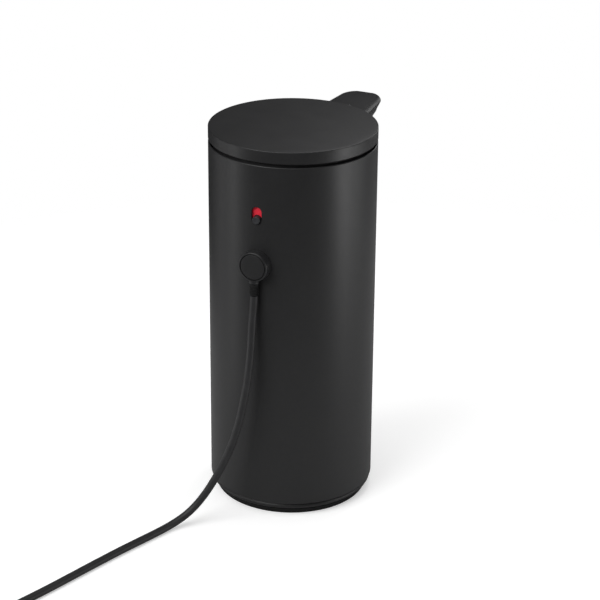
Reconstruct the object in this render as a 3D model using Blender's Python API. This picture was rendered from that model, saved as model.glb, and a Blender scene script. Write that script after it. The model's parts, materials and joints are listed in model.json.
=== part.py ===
"""Automatic soap dispenser with a magnetic charging cable, in metres, +Z up.

The origin is the centre of the base on the counter. The spout points towards -Y, and the
power switch and the charging port are on the back, towards +Y.
"""
import bpy
import bmesh
import numpy
from math import acos, asin, atan2, ceil, cos, hypot, pi, radians, sin, sqrt, tan
from mathutils import Matrix, Vector

MM = 0.001

# General clearances and facet counts
SEAT_GAP = 0.3 * MM
RUN_GAP = 0.35 * MM
OVERRUN = 1.0 * MM
WELD = 0.0005 * MM
LARGE_SIDES = 48
HIDDEN_SIDES = 32
MEDIUM_SIDES = 18
SMALL_SIDES = 8
HOSE_SIDES = 8
SMOOTH_ANGLE = radians(32)

# Body
BODY_RADIUS = 37.5 * MM
BODY_HEIGHT = 175.4 * MM
SLEEVE_WALL = 0.8 * MM
SLEEVE_LIP = 1.2 * MM
SLEEVE_LIP_DEPTH = 0.5 * MM

# Lid
LID_HEIGHT = 5.6 * MM
LID_GAP = 1.4 * MM
LID_TOP_WALL = 1.6 * MM
LID_SKIRT_WALL = 1.5 * MM
LID_EDGE = 0.5 * MM
LINER_PLATE = 2.5 * MM
PLUG_WALL = 1.6 * MM
PLUG_DEPTH = 7.0 * MM
PLUG_CLEARANCE = 0.9 * MM
SEAL_HEIGHT = 2.6 * MM
SEAL_LIP = 0.5 * MM
SEAL_SEAT = 0.35 * MM
SEAL_SHOULDER = 1.1 * MM

# Lid hinge
HINGE_REACH = 3.3 * MM
HINGE_DROP = 4.2 * MM
KNUCKLE_RADIUS = 2.4 * MM
KNUCKLE_WIDTH = 10.0 * MM
EAR_WIDTH = 4.0 * MM
HINGE_PIN_RADIUS = 1.0 * MM
TONGUE_TOP_DROP = 0.5 * MM

# Base and foot
FOOT_HEIGHT = 3.0 * MM
FOOT_INSET = 2.7 * MM
FOOT_TAPER = 1.3 * MM
FOOT_EDGE = 0.5 * MM
BASE_THICKNESS = 2.4 * MM
BASE_INSET = 0.6 * MM
BASE_TAPER = 0.6 * MM
SPIGOT_HEIGHT = 6.3 * MM
SPIGOT_WALL = 2.0 * MM

# Core frame
DECK_THICKNESS = 3.3 * MM
POST_RADIUS = 3.5 * MM
POST_COUNT = 3
BASE_SCREW_RADIUS = 1.2 * MM
BASE_SCREW_LENGTH = 11.0 * MM
SCREW_HEAD_HEIGHT = 1.3 * MM
SCREW_HEAD_OVERHANG = 1.2 * MM

# Soap tank and filler
TANK_SPACE = 2.7 * MM
TANK_WALL = 1.8 * MM
TANK_FLOOR = 2.0 * MM
CHANNEL_WIDTH = 10.0 * MM
CHANNEL_DEPTH = 8.0 * MM
FILLER_SETBACK = 14.0 * MM
FUNNEL_FLARE = 3.5 * MM
FUNNEL_HEIGHT = 5.5 * MM
DECK_RING_HEIGHT = 2.5 * MM
DECK_RING_CHAMFER = 0.8 * MM
DECK_TOP_DROP = 1.7 * MM
COLLAR_WALL = 1.7 * MM
COLLAR_CLEARANCE = 0.4 * MM
TOP_DECK_DROP = 8.2 * MM
GASKET_HEIGHT = 1.6 * MM

# Spout
SPOUT_REACH = 84.0 * MM
SPOUT_TOP_DROP = 2.1 * MM
SPOUT_WIDTH = 19.0 * MM
SPOUT_WIDTH_REACH = 76.0 * MM
SPOUT_FLARE_SHARE = 0.07
SPOUT_TIP_DEPTH = 7.0 * MM
SPOUT_DEPTH_GAIN = 15.0 * MM
SPOUT_CURVE_LENGTH = 46.0 * MM
SPOUT_CURVE_POWER = 1.8
SPOUT_BELLY_SHARE = 0.8
SPOUT_NOSE_LENGTH = 9.0 * MM
SPOUT_NOSE_POWER = 2.2
SPOUT_NOSE_END_SHARE = 0.995
SPOUT_EDGE = 1.1 * MM
SPOUT_WALL = 1.2 * MM
SPOUT_STATIONS = 8
NOSE_STATIONS = 6
CORNER_STEPS = 2
FLANGE_THICKNESS = 2.0 * MM
FLANGE_MARGIN = 3.5 * MM

# Nozzle and sensor
NOZZLE_REACH = 76.0 * MM
ELBOW_RADIUS = 3.3 * MM
TIP_RADIUS = 2.6 * MM
TIP_DROP = 1.1 * MM
STUB_LENGTH = 3.0 * MM
STUB_RADIUS = 1.35 * MM
BORE_RADIUS = 0.9 * MM
SENSOR_SETBACK = 18.2 * MM
SENSOR_WINDOW_LENGTH = 6.5 * MM
SENSOR_WINDOW_WIDTH = 11.0 * MM
SENSOR_WINDOW_RAISE = 0.3 * MM
SENSOR_BOARD_LENGTH = 7.5 * MM
SENSOR_BOARD_THICKNESS = 1.0 * MM
SENSOR_BOARD_RISE = 2.4 * MM
LED_RADIUS = 1.4 * MM
LED_HEIGHT = 1.2 * MM
LED_SPACING = 5.6 * MM

# Soap hose
HOSE_RADIUS = 2.5 * MM
HOSE_WALL = 0.8 * MM
HOSE_BEND = 10.0 * MM
HOSE_SPOUT_RISE = 1.6 * MM

# Gear pump
GEAR_MODULE = 1.0 * MM
GEAR_TEETH = 12
GEAR_PRESSURE_ANGLE = radians(25)
GEAR_ADDENDUM_SHARE = 0.9
GEAR_DEDENDUM_SHARE = 1.2
GEAR_BACKLASH = 0.3 * MM
GEAR_HEIGHT = 8.0 * MM
GEAR_FLANK_STEPS = 2
PUMP_WALL_X = 3.3 * MM
PUMP_WALL_Y = 3.3 * MM
PUMP_FLOOR = 3.0 * MM
PUMP_CORNER = 2.5 * MM
PUMP_OFFSET_X = -3.0 * MM
PUMP_OFFSET_Y = -4.0 * MM
COVER_THICKNESS = 2.2 * MM
PORT_RADIUS = 2.2 * MM
NIPPLE_RADIUS = 2.0 * MM
NIPPLE_BORE = 1.2 * MM
NIPPLE_HEIGHT = 7.1 * MM
PUMP_SCREW_RADIUS = 1.1 * MM
PUMP_SCREW_INSET = 2.9 * MM
PUMP_SCREW_DEPTH = 7.0 * MM
SEAL_RADIUS = 3.0 * MM
SHAFT_SEAL_HEIGHT = 1.4 * MM
SKIRT_WALL = 1.5 * MM
SKIRT_DEPTH = 8.0 * MM
SKIRT_FLANGE = 2.4 * MM
GROMMET_WALL = 0.9 * MM
GROMMET_FLANGE = 1.8 * MM
GROMMET_HEAD = 1.2 * MM

# Motor
MOTOR_RADIUS = 12.2 * MM
MOTOR_WALL = 0.8 * MM
MOTOR_LENGTH = 30.5 * MM
MOTOR_BOSS_RADIUS = 3.0 * MM
MOTOR_BOSS_HEIGHT = 1.6 * MM
MOTOR_LEDGE_HEIGHT = 5.2 * MM
MOTOR_LEDGE_WIDTH = 1.9 * MM
MOTOR_CRADLE_HEIGHT = 12.3 * MM
MOTOR_CRADLE_WALL = 1.3 * MM
ENDCAP_THICKNESS = 2.0 * MM
ENDCAP_PLUG = 1.8 * MM
MAGNET_THICKNESS = 1.8 * MM
MAGNET_LENGTH = 22.0 * MM
MAGNET_ANGLE = radians(130)
SHAFT_RADIUS = 1.0 * MM
AIR_GAP = 0.5 * MM
ARMATURE_LENGTH = 16.0 * MM
POLE_SHOE = 1.5 * MM
POLE_STEM = 3.6 * MM
POLE_HUB = 3.2 * MM
POLE_ANGLE = radians(104)
COMMUTATOR_RADIUS = 2.6 * MM
COMMUTATOR_LENGTH = 4.0 * MM
TERMINAL_WIDTH = 2.4 * MM
TERMINAL_THICKNESS = 0.5 * MM
TERMINAL_LENGTH = 3.0 * MM
TERMINAL_SPACING = 14.0 * MM

# Battery
CELL_RADIUS = 7.0 * MM
CELL_LENGTH = 50.0 * MM
CELL_CUP_WALL = 1.2 * MM
CELL_CUP_DEPTH = 7.5 * MM
CELL_BEARING = radians(62)
CELL_BUTTON_RADIUS = 2.6 * MM
TAB_THICKNESS = 0.4 * MM
TAB_WIDTH = 4.0 * MM
TAB_LENGTH = 9.0 * MM

# Electronics
BOARD_SETBACK = 4.9 * MM
BOARD_THICKNESS = 1.2 * MM
BOARD_WIDTH = 30.0 * MM
BOARD_DROP_SHARE = 0.57
BOARD_TOP_MARGIN = 4.0 * MM
BOARD_STANDOFF = 4.1 * MM
BOARD_SCREW_SPACING = 24.0 * MM
BOARD_SCREW_MARGIN = 5.0 * MM
BOARD_SCREW_RADIUS = 1.1 * MM
BOARD_SCREW_HEAD = 1.0 * MM
BOSS_RADIUS = 2.6 * MM
BOSS_SCREW_DEPTH = 2.8 * MM
CHIP_SIZE = 7.0 * MM
CHIP_HEIGHT = 1.2 * MM
COIL_RADIUS = 3.2 * MM
CAPACITOR_RADIUS = 2.0 * MM
TALL_PART_HEIGHT = 2.8 * MM
PART_SPACING = 14.0 * MM

# Power switch
SWITCH_DROP = 22.9 * MM
SLOT_WIDTH = 4.7 * MM
SLOT_LENGTH = 7.8 * MM
KNOB_RADIUS = 1.75 * MM
KNOB_CLEARANCE = 0.15 * MM
KNOB_PROUD = 0.9 * MM
KNOB_EDGE = 0.25 * MM
SLIDER_WIDTH = 6.6 * MM
SLIDER_THICKNESS = 0.95 * MM
SLIDER_MARGIN = 1.2 * MM
SLIDER_SETBACK = 0.45 * MM
FLAG_THICKNESS = 0.3 * MM
FLAG_MARGIN = 0.5 * MM
FLAG_RISE = 0.5 * MM
GUIDE_WALL = 1.9 * MM
STEM_WIDTH = 1.8 * MM
STEM_HEIGHT = 2.4 * MM
STEM_REACH = 1.5 * MM
SWITCH_CASE_DEPTH = 1.9 * MM
SWITCH_CASE_MARGIN = 1.9 * MM

# Charging port
PORT_SPACING = 22.5 * MM
PORT_FACE_RADIUS = 5.7 * MM
PORT_FACE_DROP = 0.5 * MM
PORT_FLANGE_RADIUS = 7.6 * MM
PORT_FLANGE_DEPTH = 1.2 * MM
PORT_FLANGE_SETBACK = 2.1 * MM
PORT_STUB_RADIUS = 5.0 * MM
PORT_SEAL_WIDTH = 1.4 * MM
PORT_SEAL_HEIGHT = 0.8 * MM
CONTACT_RADIUS = 0.8 * MM
CONTACT_SPACING = 3.2 * MM
CONTACT_BAR = 0.8 * MM
KEEPER_INNER = 3.4 * MM
KEEPER_OUTER = 4.7 * MM
KEEPER_DEPTH = 0.6 * MM

# Magnetic charging puck
PUCK_RADIUS = 6.8 * MM
PUCK_PROUD = 4.2 * MM
PUCK_EDGE = 0.5 * MM
PUCK_FACE_RADIUS = 5.7 * MM
PUCK_FACE_DEPTH = 0.7 * MM
PUCK_MAGNET_DEPTH = 1.6 * MM
PUCK_MAGNET_SETBACK = 0.5 * MM
PIN_RADIUS = 0.55 * MM
PIN_LENGTH = 2.1 * MM
PIN_BAR = 0.6 * MM
PUCK_NECK_RADIUS = 2.15 * MM
PUCK_NECK_LENGTH = 1.0 * MM
RELIEF_TOP_RADIUS = 2.0 * MM
RELIEF_END_RADIUS = 1.85 * MM
RELIEF_LENGTH = 5.4 * MM
RELIEF_GROOVE = 0.3 * MM
RELIEF_RIBS = 3
RELIEF_SETBACK = 1.75 * MM

# Charging cord, coil and plug
CORD_DIAMETER = 3.45 * MM
CORD_FLOOR_GAP = 0.05 * MM
CORD_STEP_SHARE = 2.3
COIL_TURNS = 5.25
COIL_MIDDLE_RADIUS = 20.0 * MM
COIL_PITCH = 4.1 * MM
COIL_LEAD = 6.0 * MM
COIL_HEADING = radians(72)
COIL_LOOP_POINTS = 24
PLUG_RUN = 30.0 * MM
PLUG_RUN_STEPS = 6
GRIP_LENGTH = 25.0 * MM
GRIP_WIDTH = 15.0 * MM
GRIP_HEIGHT = 8.0 * MM
GRIP_EDGE = 1.6 * MM
GRIP_COLLAR_LENGTH = 4.0 * MM
GRIP_COLLAR_RADIUS = 3.0 * MM
SHELL_LENGTH = 14.5 * MM
SHELL_WIDTH = 12.1 * MM
SHELL_HEIGHT = 4.6 * MM
SHELL_WALL = 0.4 * MM
TONGUE_LENGTH = 12.5 * MM
TONGUE_HEIGHT = 1.8 * MM
CORD_ROUTE = [
    (0.0002, 0.0404, 0.1040),
    (0.0003, 0.0410, 0.0975),
    (0.0004, 0.0415, 0.0932),
    (0.0003, 0.0423, 0.0864),
    (0.0005, 0.0433, 0.0795),
    (0.0008, 0.0443, 0.0725),
    (0.0014, 0.0455, 0.0655),
    (0.0033, 0.0479, 0.0514),
    (0.0061, 0.0503, 0.0393),
    (0.0108, 0.0531, 0.0270),
    (0.0147, 0.0554, 0.0186),
    (0.0171, 0.0567, 0.0143),
    (0.0198, 0.0585, 0.0099),
    (0.0226, 0.0608, 0.0063),
    (0.0254, 0.0640, 0.0036),
    (0.0281, 0.0676, 0.0022),
    (0.0306, 0.0745, 0.0018),
    (0.0345, 0.0857, 0.00178),
    (0.0383, 0.0967, 0.00178),
    (0.0418, 0.1079, 0.00178),
    (0.0452, 0.1191, 0.00178),
    (0.0485, 0.1302, 0.00178),
    (0.0519, 0.1412, 0.00178),
    (0.0556, 0.1520, 0.00178),
    (0.0594, 0.1630, 0.00178),
]
COIL_START = (0.0650, 0.1800)

# Places that follow from the sizes above
SLEEVE_BOTTOM = FOOT_HEIGHT + SEAT_GAP + BASE_THICKNESS + SEAT_GAP
SLEEVE_TOP = BODY_HEIGHT - LID_HEIGHT - LID_GAP
SLEEVE_INNER = BODY_RADIUS - SLEEVE_WALL
CARRIED_RADIUS = SLEEVE_INNER - SEAT_GAP
LID_BOTTOM = BODY_HEIGHT - LID_HEIGHT
LID_CEILING = BODY_HEIGHT - LID_TOP_WALL
SKIRT_INNER = BODY_RADIUS - LID_SKIRT_WALL
BASE_BOTTOM = FOOT_HEIGHT + SEAT_GAP
BASE_TOP = BASE_BOTTOM + BASE_THICKNESS

GEAR_CENTRES = GEAR_MODULE * GEAR_TEETH
GEAR_TIP_RADIUS = GEAR_CENTRES / 2 + GEAR_ADDENDUM_SHARE * GEAR_MODULE
CHAMBER_RADIUS = GEAR_TIP_RADIUS + SEAT_GAP
DRIVE_X = PUMP_OFFSET_X - GEAR_CENTRES / 2
IDLER_X = PUMP_OFFSET_X + GEAR_CENTRES / 2
PUMP_HALF_X = GEAR_CENTRES / 2 + CHAMBER_RADIUS + PUMP_WALL_X
PUMP_HALF_Y = CHAMBER_RADIUS + PUMP_WALL_Y

ENDCAP_BOTTOM = BASE_TOP + MOTOR_LEDGE_HEIGHT + SEAT_GAP
MOTOR_BOTTOM = ENDCAP_BOTTOM + ENDCAP_THICKNESS + SEAT_GAP
MOTOR_TOP = MOTOR_BOTTOM + MOTOR_LENGTH
PUMP_BOTTOM = MOTOR_TOP + MOTOR_BOSS_HEIGHT + SEAT_GAP
CHAMBER_FLOOR = PUMP_BOTTOM + PUMP_FLOOR
GEAR_BOTTOM = CHAMBER_FLOOR + SEAT_GAP
PUMP_TOP = GEAR_BOTTOM + GEAR_HEIGHT + SEAT_GAP
COVER_BOTTOM = PUMP_TOP + SEAT_GAP
COVER_TOP = COVER_BOTTOM + COVER_THICKNESS
FRAME_BOTTOM = COVER_TOP + SEAT_GAP
FRAME_TOP = FRAME_BOTTOM + DECK_THICKNESS

TANK_RADIUS = SLEEVE_INNER - TANK_SPACE
TANK_BOTTOM = FRAME_TOP + SEAT_GAP
TOP_DECK_BOTTOM = SLEEVE_TOP - TOP_DECK_DROP
GASKET_BOTTOM = TOP_DECK_BOTTOM - SEAT_GAP - GASKET_HEIGHT
TANK_TOP = GASKET_BOTTOM - SEAT_GAP
BOARD_REAR = SLEEVE_INNER - BOARD_SETBACK
BOARD_FRONT = BOARD_REAR - BOARD_THICKNESS
TANK_FLAT = BOARD_FRONT - BOARD_STANDOFF
CHANNEL_FLOOR = TANK_RADIUS - CHANNEL_DEPTH
COLLAR_RADIUS = SKIRT_INNER - COLLAR_CLEARANCE
LINER_TOP = LID_CEILING - SEAT_GAP
LINER_BOTTOM = LINER_TOP - LINER_PLATE
COLLAR_TOP = LINER_BOTTOM - SEAT_GAP
DECK_TOP = COLLAR_TOP - DECK_TOP_DROP
FUNNEL_BOTTOM = DECK_TOP - FUNNEL_HEIGHT
FILLER_RADIUS = BODY_RADIUS - FILLER_SETBACK
FUNNEL_RADIUS = FILLER_RADIUS + FUNNEL_FLARE

HINGE_Y = -BODY_RADIUS - HINGE_REACH
HINGE_Z = BODY_HEIGHT - HINGE_DROP
SPOUT_TOP = SLEEVE_TOP - SPOUT_TOP_DROP
FLANGE_TOP = TOP_DECK_BOTTOM - 2 * SEAT_GAP
HOSE_Y = -(CHANNEL_FLOOR + TANK_RADIUS) / 2
SENSOR_REACH = NOZZLE_REACH - SENSOR_SETBACK

SWITCH_Z = SLEEVE_TOP - SWITCH_DROP
KNOB_Z = SWITCH_Z - SLOT_LENGTH / 2 + KNOB_CLEARANCE + KNOB_RADIUS
SWITCH_TRAVEL = SLOT_LENGTH - 2 * KNOB_RADIUS - 2 * KNOB_CLEARANCE
SLIDER_FRONT = SLEEVE_INNER - SLIDER_SETBACK
SLIDER_BACK = SLIDER_FRONT - SLIDER_THICKNESS
SLIDER_BOTTOM = SWITCH_Z - SLOT_LENGTH / 2 - SWITCH_TRAVEL - SLIDER_MARGIN
SLIDER_TOP = SWITCH_Z + SLOT_LENGTH / 2 + SLIDER_MARGIN
PORT_Z = SWITCH_Z - PORT_SPACING
BOARD_BOTTOM = PORT_Z - BOARD_DROP_SHARE * (PORT_Z - FRAME_TOP)
BOARD_TOP = TOP_DECK_BOTTOM - BOARD_TOP_MARGIN
PORT_FACE_Y = BODY_RADIUS - PORT_FACE_DROP
PUCK_REAR_RADIUS = BODY_RADIUS + SEAT_GAP
PUCK_FRONT = BODY_RADIUS + PUCK_PROUD

CORD_FLOOR_Z = CORD_DIAMETER / 2 + CORD_FLOOR_GAP
RELIEF_Y = PUCK_FRONT - RELIEF_SETBACK
NECK_BOTTOM = PORT_Z - PUCK_RADIUS - PUCK_NECK_LENGTH
RELIEF_TOP = NECK_BOTTOM - SEAT_GAP
RELIEF_BOTTOM = RELIEF_TOP - RELIEF_LENGTH

CELL_CUP_RADIUS = CELL_RADIUS + SEAT_GAP + CELL_CUP_WALL
CELL_DISTANCE = CARRIED_RADIUS - SPIGOT_WALL - SEAT_GAP - CELL_CUP_RADIUS
CELL_X = CELL_DISTANCE * cos(CELL_BEARING)
CELL_Y = CELL_DISTANCE * sin(CELL_BEARING)
CELL_BOTTOM = BASE_TOP + SEAT_GAP + TAB_THICKNESS + SEAT_GAP
CELL_TOP = CELL_BOTTOM + CELL_LENGTH
POST_DISTANCE = CARRIED_RADIUS - SPIGOT_WALL - POST_RADIUS


def clear_scene():
    """Remove every object that the file opened with."""
    for item in list(bpy.data.objects):
        bpy.data.objects.remove(item, do_unlink=True)


def new_material(name, colour, roughness, metallic=0.0):
    """Return a Principled material with one colour."""
    material = bpy.data.materials.new(name)
    material.use_nodes = True
    shader = material.node_tree.nodes["Principled BSDF"]
    shader.inputs["Base Color"].default_value = (*colour, 1.0)
    shader.inputs["Roughness"].default_value = roughness
    shader.inputs["Metallic"].default_value = metallic
    material.diffuse_color = (*colour, 1.0)
    return material


def new_object(name, bm):
    """Turn a bmesh into a named object with its faces pointing out."""
    bmesh.ops.recalc_face_normals(bm, faces=bm.faces)
    mesh = bpy.data.meshes.new(name)
    bm.to_mesh(mesh)
    bm.free()
    item = bpy.data.objects.new(name, mesh)
    bpy.context.scene.collection.objects.link(item)
    return item


def prism(name, outline, bottom, top):
    """Extrude a flat outline of (x, y) points from one height to another."""
    bm = bmesh.new()
    corners = [bm.verts.new((x, y, bottom)) for x, y in outline]
    face = bm.faces.new(corners)
    raised = bmesh.ops.extrude_face_region(bm, geom=[face])
    moved = [part for part in raised["geom"] if isinstance(part, bmesh.types.BMVert)]
    bmesh.ops.translate(bm, vec=(0, 0, top - bottom), verts=moved)
    return new_object(name, bm)


def turned(name, profile, sides=MEDIUM_SIDES, centre=(0, 0)):
    """Spin a closed profile of (radius, height) points round an upright axis."""
    bm = bmesh.new()
    points = [bm.verts.new((radius, 0, height)) for radius, height in profile]
    edges = [bm.edges.new((a, b)) for a, b in zip(points, points[1:] + points[:1])]
    bmesh.ops.spin(
        bm, geom=points + edges, cent=(0, 0, 0), axis=(0, 0, 1), dvec=(0, 0, 0),
        angle=2 * pi, steps=sides, use_merge=True, use_duplicate=False,
    )
    bmesh.ops.remove_doubles(bm, verts=bm.verts, dist=WELD)
    bmesh.ops.dissolve_degenerate(bm, edges=bm.edges, dist=WELD)
    axis_edges = [edge for edge in bm.edges if not edge.link_faces]
    bmesh.ops.delete(bm, geom=axis_edges, context="EDGES")
    item = new_object(name, bm)
    item.location = (centre[0], centre[1], 0)
    return item


def turned_back(name, profile, height, x=0.0, sides=MEDIUM_SIDES):
    """Spin a closed profile of (radius, y) points round an axis that points to the back."""
    item = turned(name, profile, sides)
    item.rotation_euler = (-pi / 2, 0, 0)
    item.location = (x, 0, height)
    return item


def cylinder(name, radius, bottom, top, centre=(0, 0), sides=MEDIUM_SIDES):
    """Return an upright solid cylinder."""
    return turned(name, [(0, bottom), (radius, bottom), (radius, top), (0, top)], sides, centre)


def ring(name, inner, outer, bottom, top, centre=(0, 0), sides=MEDIUM_SIDES):
    """Return an upright tube."""
    profile = [(inner, bottom), (outer, bottom), (outer, top), (inner, top)]
    return turned(name, profile, sides, centre)


def rod(name, radius, start, end, sides=SMALL_SIDES):
    """Return a solid cylinder between two points."""
    run = Vector(end) - Vector(start)
    item = cylinder(name, radius, 0, run.length, sides=sides)
    item.location = start
    item.rotation_euler = run.to_track_quat("Z", "Y").to_euler()
    return item


def box(name, low, high):
    """Return a box between two corners."""
    outline = [(low[0], low[1]), (high[0], low[1]), (high[0], high[1]), (low[0], high[1])]
    return prism(name, outline, low[2], high[2])


def rounded_outline(half_x, half_y, corner, centre=(0, 0), steps=CORNER_STEPS):
    """Return a rectangle's outline with round corners."""
    points = []
    for quarter, (side_x, side_y) in enumerate([(1, 1), (-1, 1), (-1, -1), (1, -1)]):
        for step in range(steps + 1):
            angle = (quarter + step / steps) * pi / 2
            points.append((
                centre[0] + side_x * (half_x - corner) + corner * cos(angle),
                centre[1] + side_y * (half_y - corner) + corner * sin(angle),
            ))
    return points


def loft(name, rings):
    """Skin a row of closed rings, each with as many points, and cap both ends."""
    bm = bmesh.new()
    rows = [[bm.verts.new(point) for point in ring_points] for ring_points in rings]
    for near, far in zip(rows, rows[1:]):
        for index in range(len(near)):
            after = (index + 1) % len(near)
            bm.faces.new((near[index], near[after], far[after], far[index]))
    bm.faces.new(rows[0])
    bm.faces.new(rows[-1])
    return new_object(name, bm)


def apply_modifiers(item):
    """Keep an object's evaluated mesh and drop its modifiers."""
    depsgraph = bpy.context.evaluated_depsgraph_get()
    depsgraph.update()
    mesh = bpy.data.meshes.new_from_object(item.evaluated_get(depsgraph))
    item.modifiers.clear()
    item.data = mesh
    bm = bmesh.new()
    bm.from_mesh(mesh)
    bmesh.ops.remove_doubles(bm, verts=bm.verts, dist=WELD)
    bmesh.ops.triangulate(bm, faces=[face for face in bm.faces if len(face.verts) > 4])
    bm.to_mesh(mesh)
    bm.free()


def combine(item, tools, operation):
    """Apply one Boolean operation with each tool and remove the tools."""
    for tool in tools:
        modifier = item.modifiers.new(operation.title(), "BOOLEAN")
        modifier.operation = operation
        modifier.object = tool
        apply_modifiers(item)
        bpy.data.objects.remove(tool, do_unlink=True)
    return item


def cut(item, *tools):
    """Cut the tools out of an object."""
    return combine(item, tools, "DIFFERENCE")


def fuse(item, *tools):
    """Join the tools to an object as one body."""
    return combine(item, tools, "UNION")


def keep_inside(item, *tools):
    """Keep what lies inside the tools."""
    return combine(item, tools, "INTERSECT")


def round_edges(item, width, segments=2, angle=radians(50)):
    """Round an object's sharp edges."""
    modifier = item.modifiers.new("Bevel", "BEVEL")
    modifier.width = width
    modifier.segments = segments
    modifier.limit_method = "ANGLE"
    modifier.angle_limit = angle
    apply_modifiers(item)
    return item


def finish(item, material):
    """Give an object its material and smooth shading."""
    item.data.materials.clear()
    item.data.materials.append(material)
    item.data.polygons.foreach_set("material_index", [0] * len(item.data.polygons))
    item.data.shade_smooth()
    item.data.set_sharp_from_angle(angle=SMOOTH_ANGLE)
    return item


def hang_on(name, place, items):
    """Parent moving pieces to an empty on their joint's axis."""
    axis = bpy.data.objects.new(name, None)
    axis.location = place
    bpy.context.scene.collection.objects.link(axis)
    bpy.context.view_layer.update()
    for item in items:
        item.parent = axis
        item.matrix_parent_inverse = axis.matrix_world.inverted()


def polar(radius, angle, centre=(0, 0)):
    """Return the point at a radius and an angle."""
    return (centre[0] + radius * cos(angle), centre[1] + radius * sin(angle))


def post_places():
    """Return where the three posts stand, the first on +X."""
    return [polar(POST_DISTANCE, 2 * pi * index / POST_COUNT) for index in range(POST_COUNT)]


def screw(name, centre, head_bottom, head_height, head_radius, shank_radius, shank_end):
    """Return an upright screw whose shank runs from its head to shank_end."""
    head = cylinder(name, head_radius, head_bottom, head_bottom + head_height, centre, SMALL_SIDES)
    low = min(head_bottom + head_height / 2, shank_end)
    high = max(head_bottom + head_height / 2, shank_end)
    shank = cylinder(name + "_shank", shank_radius, low, high, centre, SMALL_SIDES)
    return fuse(head, shank)


def spout_half_width(reach, inset=0.0):
    """Return the spout's half-width along its top at a distance from the axis."""
    nose_start = SPOUT_REACH - SPOUT_NOSE_LENGTH
    half_width = SPOUT_WIDTH / 2 + SPOUT_FLARE_SHARE * (SPOUT_WIDTH_REACH - reach) - inset
    if reach <= nose_start:
        return half_width
    share = (reach - nose_start) / (SPOUT_NOSE_LENGTH - inset)
    return half_width * sqrt(max(0.0, 1 - share ** SPOUT_NOSE_POWER))


def spout_depth(reach):
    """Return how far the spout's underside lies below its top."""
    share = max(0.0, SPOUT_REACH - reach) / SPOUT_CURVE_LENGTH
    return SPOUT_TIP_DEPTH + SPOUT_DEPTH_GAIN * share ** SPOUT_CURVE_POWER


def spout_section(reach, inset=0.0):
    """Return the ring of points round the spout at a distance from the axis."""
    top_half = spout_half_width(reach, inset)
    low_half = top_half * SPOUT_BELLY_SHARE
    end = SPOUT_REACH - inset
    edge = max(SPOUT_EDGE - inset, SPOUT_EDGE / 3)
    nose = max(0.0, reach - (end - edge))
    drop = edge - sqrt(max(0.0, edge ** 2 - nose ** 2))
    top = SPOUT_TOP - inset - drop
    bottom = SPOUT_TOP - spout_depth(reach) + inset + drop
    corner = min(edge, top_half / 2, (top - bottom) / 3)
    centres = [
        (top_half - corner, top - corner),
        (corner - top_half, top - corner),
        (corner - low_half, bottom + corner),
        (low_half - corner, bottom + corner),
    ]
    points = []
    for quarter, (centre_x, centre_z) in enumerate(centres):
        for step in range(CORNER_STEPS + 1):
            angle = (quarter + step / CORNER_STEPS) * pi / 2
            points.append((centre_x + corner * cos(angle), -reach, centre_z + corner * sin(angle)))
    return points


def spout_loft(name, start, inset=0.0, end=None):
    """Loft the spout's form, drawn in all round by an inset, up to its nose or to an end."""
    nose_start = SPOUT_REACH - SPOUT_NOSE_LENGTH
    last = nose_start if end is None else end
    stations = [start + (last - start) * step / SPOUT_STATIONS for step in range(SPOUT_STATIONS + 1)]
    if end is None:
        for step in range(1, NOSE_STATIONS + 1):
            share = min(sin(step / NOSE_STATIONS * pi / 2), SPOUT_NOSE_END_SHARE)
            stations.append(nose_start + (SPOUT_NOSE_LENGTH - inset) * share)
    return loft(name, [spout_section(station, inset) for station in stations])


def tank_outline(inset=0.0):
    """Return the tank's plan: a circle with a flat at the back and a channel at the front."""
    radius = TANK_RADIUS - inset
    flat = TANK_FLAT - inset
    half = CHANNEL_WIDTH / 2 + inset
    start = asin(flat / radius)
    finish_angle = -acos(half / radius)
    steps = LARGE_SIDES // 3
    right = [polar(radius, start + (finish_angle - start) * step / steps) for step in range(steps + 1)]
    right.append((half, -(CHANNEL_FLOOR - inset)))
    left = [(-x, y) for x, y in reversed(right)]
    return right + left


def gear_outline():
    """Return the outline of an involute gear whose first tooth lies on +X."""
    pitch = GEAR_MODULE * GEAR_TEETH / 2
    base = pitch * cos(GEAR_PRESSURE_ANGLE)
    tip = pitch + GEAR_ADDENDUM_SHARE * GEAR_MODULE
    root = pitch - GEAR_DEDENDUM_SHARE * GEAR_MODULE
    thickness = pi * GEAR_MODULE / 2 - GEAR_BACKLASH / 2
    half_angle = thickness / (2 * pitch)
    rolled = tan(GEAR_PRESSURE_ANGLE) - GEAR_PRESSURE_ANGLE
    flank = []
    for step in range(GEAR_FLANK_STEPS + 1):
        radius = base + (tip - base) * step / GEAR_FLANK_STEPS
        slant = acos(min(1.0, base / radius))
        flank.append((radius, half_angle + rolled - (tan(slant) - slant)))
    tooth = [(root, -flank[0][1])] + [(radius, -angle) for radius, angle in flank]
    tooth += [(radius, angle) for radius, angle in reversed(flank)] + [(root, flank[0][1])]
    outline = []
    for index in range(GEAR_TEETH):
        turn = 2 * pi * index / GEAR_TEETH
        outline += [polar(radius, turn + angle) for radius, angle in tooth]
    return outline


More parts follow.
